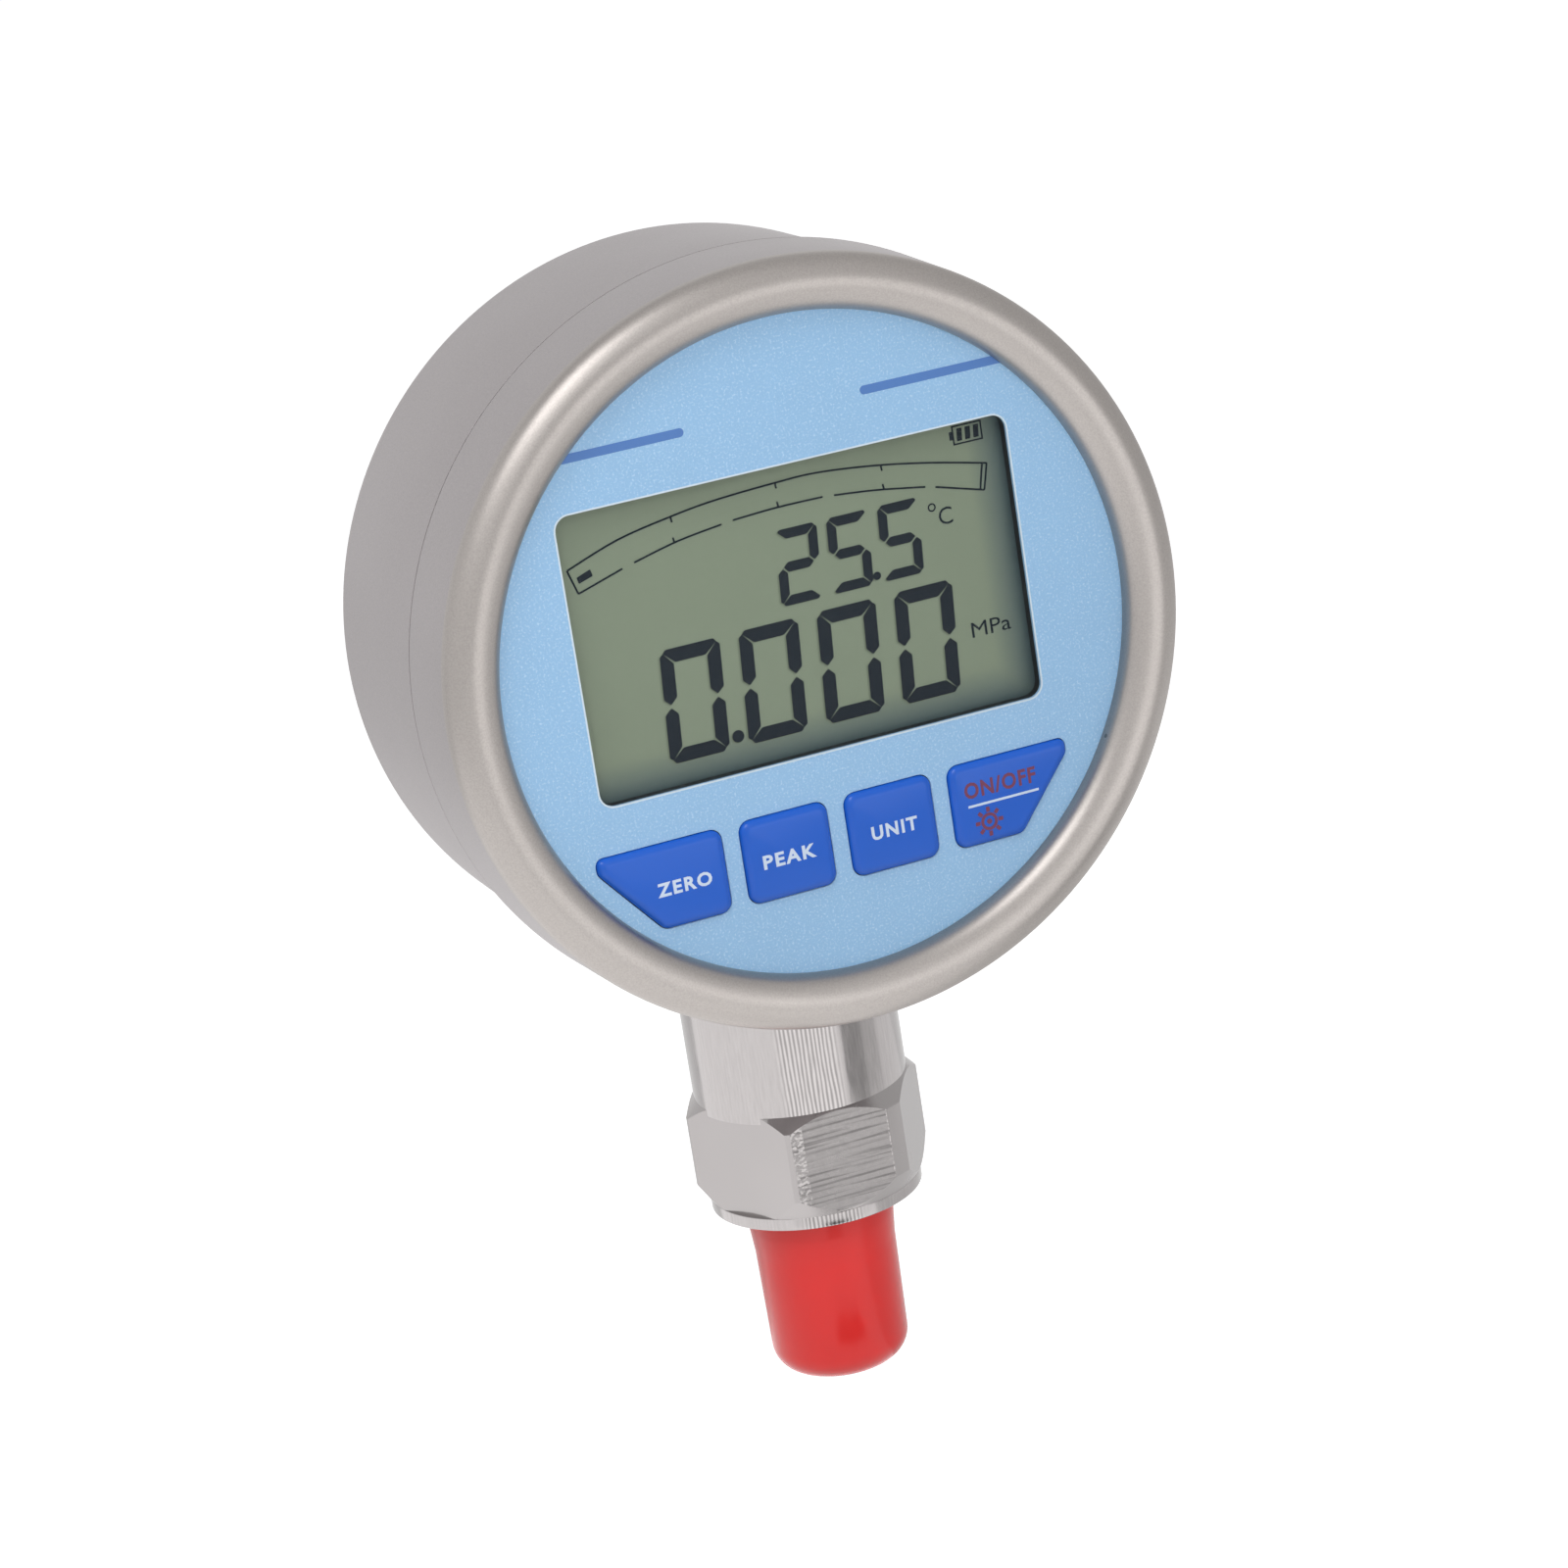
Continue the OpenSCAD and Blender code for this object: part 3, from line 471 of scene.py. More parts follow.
def cells(tree, place, scale, **values):
    """Distance to the nearest of scattered points."""
    return node(tree, "TexVoronoi", ("Vector", place), ("Scale", scale), **values).outputs[0]


def open_group(name, inputs):
    """A new shader group: its tree, the sockets of its inputs and the place on the object."""
    tree = bpy.data.node_groups.new(name, "ShaderNodeTree")
    for label, value in inputs.items():
        socket = tree.interface.new_socket(label, in_out="INPUT", socket_type="NodeSocketFloat")
        socket.default_value = value
    given = tree.nodes.new("NodeGroupInput").outputs
    return tree, given, node(tree, "TexCoord").outputs["Object"]


def close_group(tree, results):
    """Gives a shader group its outputs."""
    for label in results:
        tree.interface.new_socket(label, in_out="OUTPUT", socket_type="NodeSocketFloat")
    out = tree.nodes.new("NodeGroupOutput")
    for label, source in results.items():
        tree.links.new(source, out.inputs[label])
    GROUPS[tree.name] = tree


def build_groups():
    """The effects that several finishes share."""
    tree, given, place = open_group("fine_grain", {"Scale": 1.0})
    close_group(tree, {"Grain": noise(tree, place, given["Scale"], 3.0),
                       "Cloud": noise(tree, place, 22.0, 3.0)})

    tree, given, place = open_group("small_nicks", {"Scale": 60.0, "Reach": 0.045})
    ragged = calc(tree, "MULTIPLY_ADD", noise(tree, place, 700.0, 1.0), 0.05,
                  cells(tree, place, given["Scale"]))
    close_group(tree, {"Nicks": calc(tree, "LESS_THAN", ragged, given["Reach"])})

    # Ribs and streaks of turning, and a band at the front of the stem that marks where the
    # highlight falls, for a painted highlight.
    tree, given, place = open_group("chatter_marks",
                                    {"Count": 164.0, "Middle": 0.0, "Half Width": 0.35})
    x, y, _ = node(tree, "SeparateXYZ", (0, place)).outputs
    turn = calc(tree, "ARCTAN2", y, x)
    counted = calc(tree, "MULTIPLY", turn, given["Count"])
    drift = noise(tree, place, 260.0, 2.0, stretch=(1.0, 1.0, 0.3))
    ribs = calc(tree, "SINE", calc(tree, "MULTIPLY_ADD", drift, 7.0, counted))
    away = calc(tree, "ABSOLUTE", calc(tree, "SUBTRACT", turn, given["Middle"]))
    inner = calc(tree, "SUBTRACT", given["Half Width"], away)
    close_group(tree, {"Ribs": ribs,
                       "Dust": noise(tree, place, 2600.0, 3.0, stretch=(1.0, 1.0, 0.12)),
                       "Highlight_Band": calc(tree, "MULTIPLY", inner, 14.0, clamp=True)})

    tree, given, place = open_group("mill_marks", {"Edge": 0.0066})
    x = node(tree, "SeparateXYZ", (0, place)).outputs[0]
    ends = calc(tree, "GREATER_THAN", calc(tree, "ABSOLUTE", x), given["Edge"])
    close_group(tree, {"Marks": noise(tree, place, 1900.0, 2.0, stretch=(0.03, 0.03, 1.0)),
                       "Specks": noise(tree, place, 2200.0, 4.0, stretch=(0.6, 0.6, 1.0)),
                       "Ends": ends})

    tree, given, place = open_group("well_shade", {"Right": 0.0, "Low": 0.0, "Reach": 0.003})
    x, _, z = node(tree, "SeparateXYZ", (0, place)).outputs
    nearest = calc(tree, "SMOOTH_MIN", calc(tree, "SUBTRACT", given["Right"], x),
                   calc(tree, "SUBTRACT", z, given["Low"]), 0.001)
    close_group(tree, {"Shade": calc(tree, "DIVIDE", nearest, given["Reach"], clamp=True)})

    tree, given, place = open_group("pebble", {"Scale": 2600.0})
    height = calc(tree, "ADD", cells(tree, place, given["Scale"], feature="SMOOTH_F1"),
                  noise(tree, place, given["Scale"], 2.0))
    close_group(tree, {"Height": height})


def placed(tree, name, **values):
    """Outputs of a shader group, its inputs set; an underscore stands for a space."""
    inputs = [(key.replace("_", " "), value) for key, value in values.items()]
    return node(tree, "Group", *inputs, node_tree=GROUPS[name]).outputs


def ranged(tree, source, low, high, start=0.3, end=0.7):
    """A value between low and high as the source goes from start to end."""
    return node(tree, "MapRange", *enumerate((source, start, end, low, high))).outputs[0]


def mixed(tree, factor, first, second):
    """A colour between two, each a source or plain values."""
    pair = [c if isinstance(c, bpy.types.NodeSocket) else (*c, 1) for c in (first, second)]
    return node(tree, "Mix", *zip((0, 6, 7), (factor, *pair)), data_type="RGBA").outputs[2]


def tinted(tree, source, base, dark, light, start=0.3, end=0.7):
    """The base darkened to lightened as the source goes from start to end."""
    return mixed(tree, ranged(tree, source, 0.0, 1.0, start, end), shade(base, dark),
                 shade(base, light))


def shade(base, by):
    return tuple(min(1.0, c * by) for c in base)


def finish(name, base, **sockets):
    """A material with a Principled shader and plain values on its sockets."""
    material = bpy.data.materials.new(name)
    material.use_nodes = True
    FINISHES[name] = material
    shader = material.node_tree.nodes["Principled BSDF"]
    shader.inputs["Base Color"].default_value = (*base, 1)
    for key, value in sockets.items():
        shader.inputs[key.replace("_", " ")].default_value = value
    return material.node_tree, shader


def wire(shader, **sources):
    """Links sources to a shader's sockets; an underscore stands for a space."""
    for key, source in sources.items():
        shader.id_data.links.new(source, shader.inputs[key.replace("_", " ")])


def bump(shader, height, strength, distance):
    made = node(shader.id_data, "Bump", ("Strength", strength), ("Distance", distance),
                ("Height", height))
    wire(shader, Normal=made.outputs[0])


def grained(name, base, roughness, bumps=0.1, scale=2500.0, spread=0.06, **sockets):
    """A plain finish with a fine grain, faint clouds in its colour and uneven gloss."""
    tree, shader = finish(name, base, **sockets)
    grain = placed(tree, "fine_grain", Scale=scale)
    wire(shader, Base_Color=tinted(tree, grain["Cloud"], base, 1 - spread, 1 + spread),
         Roughness=ranged(tree, grain["Cloud"], roughness - 0.05, roughness + 0.05))
    bump(shader, grain["Grain"], bumps, 0.00003)


def blasted(name, base, roughness):
    """Bead-blasted steel: an even satin gloss with a fine speckle and a few dark nicks."""
    tree, shader = finish(name, base, Metallic=1.0)
    grain = placed(tree, "fine_grain", Scale=4200.0)
    nicks = placed(tree, "small_nicks", Scale=60.0, Reach=0.045)
    plain = tinted(tree, grain["Grain"], base, 0.92, 1.08)
    wire(shader, Base_Color=mixed(tree, nicks["Nicks"], plain, shade(base, 0.55)),
         Roughness=ranged(tree, grain["Cloud"], roughness - 0.04, roughness + 0.04))
    bump(shader, grain["Grain"], 0.22, 0.00003)


def turned(name, base):
    """Turned steel: fine streaks all round. Chatter ribs stand out mainly in a band at the front,
    where the highlight falls; their light and dark stripes in the colour there are a painted
    highlight.
    """
    tree, shader = finish(name, base, Metallic=1.0)
    # The band at -103 degrees is where the highlight falls on the stem: the ribs' light and dark
    # colour there is a painted highlight.
    chatter_and_lit_band = placed(tree, "chatter_marks", Count=164.0, Middle=math.radians(-103),
                     Half_Width=0.30)
    lit_rib_depth = calc(tree, "MULTIPLY_ADD", chatter_and_lit_band["Highlight_Band"], 0.44, 0.015)
    painted_rib_swing = calc(tree, "MULTIPLY", chatter_and_lit_band["Ribs"], lit_rib_depth)
    share = ranged(tree, chatter_and_lit_band["Highlight_Band"], 0.3, 0.9, 0.0, 1.0)
    streaks = node(tree, "Mix", (0, share), (2, 0.55), (3, chatter_and_lit_band["Dust"])).outputs[0]
    marks = calc(tree, "ADD", streaks, painted_rib_swing)
    wire(shader, Base_Color=tinted(tree, marks, base, 0.72, 1.4, 0.1, 0.9),
         Roughness=ranged(tree, chatter_and_lit_band["Dust"], 0.11, 0.20))
    bump(shader, marks, 0.5, 0.00002)


def milled(name, base):
    """Milled steel: level cutter marks, rougher at both ends, where bright specks in the colour
    are painted glints.
    """
    tree, shader = finish(name, base, Metallic=1.0)
    mill = placed(tree, "mill_marks")
    # Lighter specks near both ends of the flat: painted glints.
    painted_glint_flecks = calc(tree, "MULTIPLY", mill["Ends"],
                  ranged(tree, mill["Specks"], 0.0, 1.0, 0.48, 0.60))
    rough = calc(tree, "MULTIPLY_ADD", mill["Ends"], 1.5, 0.7)
    marks = tinted(tree, mill["Marks"], base, 0.46, 0.80, 0.34, 0.50)
    wire(shader, Base_Color=mixed(tree, painted_glint_flecks, marks, shade(base, 1.35)),
         Roughness=ranged(tree, mill["Specks"], 0.22, 0.5))
    bump(shader, calc(tree, "MULTIPLY_ADD", mill["Specks"], rough, mill["Marks"]), 0.8, 0.00008)


def printed_face_with_painted_glints(name, base):
    """Pebbled face print, with pale speckles in its colour that are painted glints."""
    tree, shader = finish(name, base)
    pebble = placed(tree, "pebble", Scale=3000.0)
    grain = placed(tree, "fine_grain", Scale=3000.0)
    # Pale speckles mixed into the print colour: painted glints of the pebbled sheet.
    speckle, pale = ranged(tree, grain["Grain"], 0.0, 1.0, 0.52, 0.80), (0.49, 0.68, 0.87)
    plain = tinted(tree, grain["Cloud"], base, 0.97, 1.03)
    wire(shader, Base_Color=mixed(tree, speckle, plain, pale),
         Roughness=ranged(tree, grain["Grain"], 0.42, 0.29))
    bump(shader, pebble["Height"], 0.8, 0.00006)


def display_ground(name, base):
    """Matt display ground, dark where the window's right and lower edges shade it."""
    tree, shader = finish(name, base, Roughness=0.42, Specular_IOR_Level=0.25)
    well = placed(tree, "well_shade", Right=(PANE_HIGH.x - 0.75) * MM,
                  Low=(PANE_LOW.z + 0.7) * MM, Reach=0.0054)
    grain = placed(tree, "fine_grain", Scale=2400.0)
    wire(shader, Base_Color=mixed(tree, ranged(tree, well["Shade"], 0.0, 1.0, 0.0, 1.0),
                                  (0.085, 0.128, 0.138), base))
    bump(shader, grain["Grain"], 0.15, 0.00004)


def clear_pane(name):
    tree, shader = finish(name, (0.10, 0.11, 0.11), Alpha=0.05, Roughness=0.06)
    grain = placed(tree, "fine_grain", Scale=60.0)
    wire(shader, Roughness=ranged(tree, grain["Cloud"], 0.04, 0.10))


def soft_red(name, base):
    """Soft red plastic. Its roughness stays on one side of about 0.27, where the denoiser would
    draw a thin line."""
    tree, shader = finish(name, base, Subsurface_Weight=0.2, Subsurface_Scale=0.001,
                          Subsurface_Radius=(1.0, 0.15, 0.1), Specular_IOR_Level=0.36,
                          Coat_Weight=0.06, Coat_Roughness=0.16)
    grain = placed(tree, "fine_grain", Scale=1400.0)
    wire(shader, Base_Color=tinted(tree, grain["Cloud"], base, 0.88, 1.1),
         Roughness=ranged(tree, grain["Cloud"], 0.20, 0.26))
    bump(shader, grain["Grain"], 0.08, 0.00005)


def build_finishes():
    """Every finish of the gauge."""
    c = bpy.context.scene.gauge_colours
    blasted("blasted_steel", c.case, 0.44)
    blasted("satin_ring_steel", c.ring, 0.40)
    turned("turned_steel_with_painted_highlight", c.stem)
    milled("milled_steel_with_painted_glints", c.stem)
    grained("smooth_steel", c.stem, 0.24, bumps=0.08, scale=3000.0, Metallic=1.0)
    grained("screw_steel", (0.62, 0.62, 0.62), 0.22, Metallic=1.0)
    printed_face_with_painted_glints("face_print", c.face)
    grained("stripe_print", c.stripe, 0.35, bumps=0.2, scale=2600.0)
    grained("window_edge", (0.62, 0.72, 0.80), 0.4)
    grained("key_blue", c.key, 0.20, bumps=0.12, scale=1500.0, spread=0.04,
            Specular_IOR_Level=0.35)
    grained("legend_white", c.legend, 0.4)
    grained("legend_red", c.warning, 0.4)
    display_ground("display_ground", c.display)
    grained("display_shade", shade(c.display, 0.72), 0.5, Specular_IOR_Level=0.1)
    grained("display_ink", c.ink, 0.5, Specular_IOR_Level=0.1)
    grained("black_plastic", (0.012, 0.013, 0.016), 0.45)
    grained("grey_plastic", (0.10, 0.105, 0.11), 0.5)
    grained("white_plastic", (0.72, 0.73, 0.73), 0.45)
    grained("ivory_plastic", (0.68, 0.62, 0.48), 0.45)
    grained("seal_rubber", (0.015, 0.015, 0.015), 0.7, scale=1200.0)
    grained("strip_rubber", (0.16, 0.16, 0.17), 0.7)
    grained("board_green", (0.01, 0.12, 0.04), 0.3, scale=700.0, spread=0.25)
    grained("lead_grey", (0.16, 0.16, 0.17), 0.5)
    grained("cell_wrap", (0.45, 0.22, 0.03), 0.3)
    grained("contact_brass", (0.62, 0.45, 0.18), 0.28, Metallic=1.0)
    clear_pane("clear_pane")
    soft_red("cap_red", c.cap)


# Nodes of the frame that keep their own shape, by finish
KEPT = {
    "seal_rubber": ("ring_seal", "cover_gasket", "stem_seal", "sensor_o_ring"),
    "grey_plastic": ("face_plate", "battery_tray"),
    "black_plastic": ("display_frame", "switch_bodies", "board_chips"),
    "white_plastic": ("backlight", "plunger_zero", "plunger_peak", "plunger_unit",
                      "plunger_power"),
    "ivory_plastic": ("board_headers", "sensor_plug", "battery_plug"),
    "clear_pane": ("window_pane",),
    "display_ground": ("display_glass",),
    "strip_rubber": ("contact_strips",),
    "board_green": ("main_board",),
    "screw_steel": ("board_screws", "cover_screws"),
    "smooth_steel": ("clamp_saddle", "lock_nut", "sensor_capsule"),
    "lead_grey": ("sensor_lead", "battery_lead"),
    "cell_wrap": ("battery_cells",),
    "contact_brass": ("contact_plates", "contact_springs", "sensor_retainer"),
}


class Dresser(bpy.types.Operator):
    """Common part of the operators: runs build and reports that it is done."""

    bl_options = {"REGISTER", "UNDO"}

    def execute(self, context):
        self.build(sizes())
        return {"FINISHED"}


class GAUGE_OT_finishes(Dresser):
    """Make the shader groups and the finishes"""

    bl_idname = "gauge.finishes"
    bl_label = "Finishes"

    def build(self, s):
        build_groups()
        build_finishes()


class GAUGE_OT_inner_parts(Dresser):
    """Give each kept node of the frame its finish"""

    bl_idname = "gauge.inner_parts"
    bl_label = "Inner parts"

    def build(self, s):
        for finish_name, names in KEPT.items():
            for name in names:
                mesh = frame["nodes"][name].data
                if not mesh.materials:
                    mesh.materials.append(None)
                for i in range(len(mesh.materials)):
                    mesh.materials[i] = FINISHES[finish_name]


class GAUGE_OT_case(Dresser):
    """Turn the front ring with its two beads and its skirt, and the drum behind it"""

    bl_idname = "gauge.case"
    bl_label = "Case"

    def build(self, s):
        self.ring(s)
        self.drum(s)

    def ring(self, s):
        """The ring: two worn beads, then the skirt with a fine groove by the seam."""
        crest = FACE_Y - RING_LOW.y
        inner_bead = ((0, 0.04), (0, 0.7), (0.12, 1.35), (0.42, 2.0), (0.9, 2.58), (1.4, 2.98),
                      (1.9, 3.25), (2.65, 3.55), (3.4, 3.75), (3.9, crest), (4.45, crest + 0.02))
        outer_bead = ((3.05, 3.77), (2.5, 3.61), (1.85, 3.28), (1.35, 2.97), (0.85, 2.57),
                      (0.38, 2.02), (0.08, 1.35), (0, 0.6))
        beads = worn([*((s.view_r + x, out) for x, out in inner_bead),
                      *((s.shoulder_r - x, out) for x, out in outer_bead)])
        seam, gap, wall = -SEAM_DEPTH, 0.04, 1.5
        line, wide, deep = seam + 0.30, 0.24, 0.32
        inner_r = CASE_R - wall
        skirt = eased([(s.shoulder_r + 0.01, 0.2), (RING_R - 0.02, line + wide),
                       (RING_R - deep, line + wide - 0.02), (RING_R - deep, line + 0.02),
                       (RING_R - 0.01, line), (RING_R, seam + gap), (inner_r, seam + gap),
                       (inner_r, 0.04)], [0, 0.03, 0, 0, 0.03, 0.12, 0, 0], 4, closed=False)
        ring = lathe("front_ring_beads", [*beads, *skirt], round_head, "satin_ring_steel",
                     closed=True, slot="ring_steel")
        ring.data.materials.append(FINISHES["blasted_steel"])
        skirt_start = (FACE_Y + 0.3) * MM
        for face in ring.data.polygons:
            face.material_index = 1 if face.center.y > skirt_start else 0
        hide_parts("front_ring")

    def drum(self, s):
        """The drum, with its mouth at the seam and a rounded back edge."""
        seam, seam_edge, wall, mouth, step = -SEAM_DEPTH, 0.18, 1.5, 3.6, 2
        edge = s.back_edge_r
        outer = eased([(CASE_R - mouth, seam), (CASE_R, seam), (CASE_R, -CASE_DEPTH),
                       (0, -CASE_DEPTH)], [0, seam_edge, edge, 0], 14, closed=False)
        inner = eased([(0, wall - CASE_DEPTH), (CASE_R - wall, wall - CASE_DEPTH),
                       (CASE_R - wall, seam - step), (CASE_R - mouth, seam - step)],
                      [0, edge - wall, 0, 0], 8, closed=False)
        drum = lathe("case_drum", [*outer, *inner], round_head, "blasted_steel", closed=True,
                     slot="case_steel")
        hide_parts("rear_case")


class GAUGE_OT_face(Dresser):
    """Cut the face sheet, print its stripes and edge the window"""

    bl_idname = "gauge.face"
    bl_label = "Face"

    def build(self, s):
        window = box_outline(PANE_LOW, PANE_HIGH, s.window_lap, s.window_r)
        openings = [grown(key_outline(i), s.key_gap) for i in range(len(KEYS))]
        face = plates("face_print_sheet", [[disc((0, 0), SHEET_R, 180), window, *openings]],
                      [(0.0, SHEET_LOW.y - SHEET_HIGH.y), (0.0, 0.0)], "face_print",
                      slot="face_print")
        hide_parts("face_sheet")
        width, height, edge = 0.24, 0.05, 0.02
        plates("window_cut_edge", [[grown(window, width), window]],
               [(0.0, 0.0), *edge_levels(edge, height - edge, height, 4)], "window_edge",
               slot="face_print")

        height, thick, left_end, right_end, under_ring = 33.8, 1.25, -14.6, 11.7, 2.2
        reach = math.sqrt((s.view_r + under_ring) ** 2 - height ** 2)
        low, high = height - thick / 2, height + thick / 2
        stripes = [[eased(rectangle(start, low, end, high), thick / 2)]
                   for start, end in ((-reach, left_end), (right_end, reach))]
        ink("face_stripes", stripes, 0.0, "stripe_print", slot="face_print")


class GAUGE_OT_keys(Dresser):
    """Shape the four keys and print their legends"""

    bl_idname = "gauge.keys"
    bl_label = "Keys"

    def build(self, s):
        texts = {"key_zero": ("ZERO", 8.2, -25.2), "key_peak": ("PEAK", 8.05, -9.3),
                 "key_unit": ("UNIT", 7.1, 6.85)}
        foot, text_z, text_height, above = -3.0, -28.35, 2.05, 0.02
        for i, (name, body) in enumerate(zip(KEYS, KEY_BODIES)):
            top = FACE_Y - corners(name)[0].y
            levels = [(0.0, foot), *edge_levels(s.key_edge, 0.0, top, 7)]
            key = built_up(name + "_cap", lambda inset, i=i: key_outline(i, inset), levels,
                           "key_blue", body=body, slot="key_blue", smooth=50)
            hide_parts(name)
            if name in texts:
                text, width, x = texts[name]
                letters(name + "_legend", text, text_height, width, (x, text_z), top + above,
                        "legend_white", bold=0.034, spacing=1.2, body=body, slot="key_blue")
            else:
                self.power_legend(top + above, body)

    def power_legend(self, out, body):
        """The last key's legend: its words, a line and the sign for the light."""
        options = {"body": body, "slot": "key_blue"}
        letters("key_power_legend", "ON/OFF", 2.4, 11.2, (23.7, -25.9), out, "legend_red",
                **options)
        ink("key_power_line", [[rectangle(18.4, -28.4, 29.5, -28.05)]], out - 0.01,
            "legend_white", **options)
        sun, ray_start, ray_end, ray_width = Vector((21.3, -31.0)), 1.42, 2.15, 0.55
        shapes = [[disc(sun, 1.3), disc(sun, 0.85)[::-1]], [disc(sun, 0.4)]]
        for turn in range(0, 360, 45):
            ray = [polar(ray_start, turn) + sun, polar(ray_end, turn) + sun]
            shapes.append([line_shape(ray, ray_width)])
        ink("key_power_sun", shapes, out - 0.01, "legend_red", **options)


SEGMENTS = {"0": "abcdef", "2": "abged", "5": "afgcd"}


def segment_shapes(text, centre, width, height, stroke, pitch, slant, gap):
    """Polygons of a row of seven-segment figures."""
    x, z = width / 2, height / 2
    cut, half, g = stroke * 0.35, stroke / 2, gap / 2
    notch, drop, waist = stroke * 0.15, cut * 0.75, half * 0.9
    bar = [(-x + cut + g, z), (x - cut - g, z), (x - notch - g, z - drop),
           (x - stroke - g, z - stroke), (-x + stroke + g, z - stroke),
           (-x + notch + g, z - drop)]
    post = [(x, z - cut - g), (x, g + waist), (x - half, g), (x - stroke, g + half),
            (x - stroke, z - stroke - g), (x - drop, z - notch - g)]
    middle = [(-x + half + g, 0), (-x + stroke + g, half), (x - stroke - g, half),
              (x - half - g, 0), (x - stroke - g, -half), (-x + stroke + g, -half)]
    forms = {"a": (bar, 1, 1), "d": (bar, 1, -1), "b": (post, 1, 1), "c": (post, 1, -1),
             "f": (post, -1, 1), "e": (post, -1, -1), "g": (middle, 1, 1)}
    shapes = []
    for i, figure in enumerate(text):
        start = centre[0] + i * pitch
        for points, flip_x, flip_z in (forms[key] for key in SEGMENTS[figure]):
            shapes.append([polygon(*((start + flip_x * a + slant * flip_z * b / height,
                                      centre[1] + flip_z * b) for a, b in points))])
    return shapes


class GAUGE_OT_display(Dresser):
    """Draw the figures, the bar scale and the signs on the display"""

    bl_idname = "gauge.display"
    bl_label = "Display"

    def build(self, s):
        out = 0.01 - GLASS_DEPTH
        slot = "display_green"
        figures = segment_shapes("0000", (-18.14, -4.2), width=9.0, height=16.2, stroke=2.0,
                                 pitch=11.86, slant=0.97, gap=0.44)
        figures.append([disc((-12.67, -10.7), 0.9)])
        figures += segment_shapes("255", (0.11, 11.2), width=6.3, height=10.8, stroke=1.4,
                                  pitch=7.78, slant=0.65, gap=0.34)
        figures.append([disc((11.37, 6.9), 0.6)])
        shift = Vector((-0.28, -0.12))
        shadow = [[[p + shift for p in loop] for loop in shape] for shape in figures]
        ink("display_figures", figures + self.scale() + self.battery(), out + 0.02,
            "display_ink", slot=slot)
        ink("display_figure_shade", shadow, out - 0.005, "display_shade", thickness=0.01,
            slot=slot)
        letters("display_unit", "MPa", 2.2, 6.1, (27.4, -4.2), out + 0.04, "display_ink",
                bold=0.0, spacing=1.0, slot=slot)
        letters("display_degree", "C", 2.5, 2.1, (22.9, 13.0), out + 0.04, "display_ink",
                bold=0.0, slot=slot)
        degree = (21.0, 14.6)
        ink("display_degree_ring", [[disc(degree, 0.62), disc(degree, 0.40)[::-1]]],
            out + 0.02, "display_ink", slot=slot)

    def scale(self):
        """The curved bar scale: two lines with gaps and ticks, and its first block."""
        width, tick, lean = 0.28, 0.8, 0.1
        upper = [(-33.3, 18.0), (-25.4, 20.6), (-16.9, 22.1), (-10.4, 22.85), (-1.8, 23.25),
                 (4.6, 23.3), (13.2, 22.4), (21.8, 20.9), (30.2, 19.0)]
        lower = [[(-32.2, 14.5), (-25.4, 16.5)], [(-23.6, 16.95), (-16.9, 18.45), (-10.2, 19.3)],
                 [(-8.5, 19.5), (-1.8, 19.8), (5.1, 19.75)],
                 [(6.8, 19.6), (13.2, 18.9), (20.5, 17.7)], [(22.0, 17.35), (29.3, 15.3)]]
        lines = [flowing(upper), *(flowing(part) if len(part) > 2 else part for part in lower)]
        lines += [[upper[0], lower[0][0]], [upper[-1], lower[-1][-1]],
                  [(29.5, 19.15), (28.7, 15.5)]]
        for x, top, low in ((-17.4, 22.0, 18.3), (-1.6, 23.25, 19.8), (14.3, 22.2, 18.75)):
            lines += [[(x, top), (x + lean, top - tick)], [(x, low), (x - lean, low + tick)]]
        block = polygon((-32.1, 16.75), (-30.0, 17.5), (-29.75, 16.5), (-31.9, 15.85))
        return [*([line_shape(line, width)] for line in lines), [block]]

    def battery(self):
        """The battery sign with its bars."""
        x0, x1, z0, z1, line, knob, knob_inset = 25.6, 30.2, 22.5, 25.3, 0.24, 0.45, 0.8
        inner = rectangle(x0 + line, z0 + line, x1 - line, z1 - line)
        shapes = [[rectangle(x0, z0, x1, z1), inner[::-1]],
                  [rectangle(x0 - knob, z0 + knob_inset, x0, z1 - knob_inset)]]
        first, pitch, width, lean, inset = x0 + 0.62, 1.28, 0.8, 0.15, 0.5
        low, high = z0 + inset, z1 - inset
        for left in (first + pitch * k for k in range(3)):
            shapes.append([polygon((left, low), (left + width, low),
                                   (left + width + lean, high), (left + lean, high))])
        return shapes


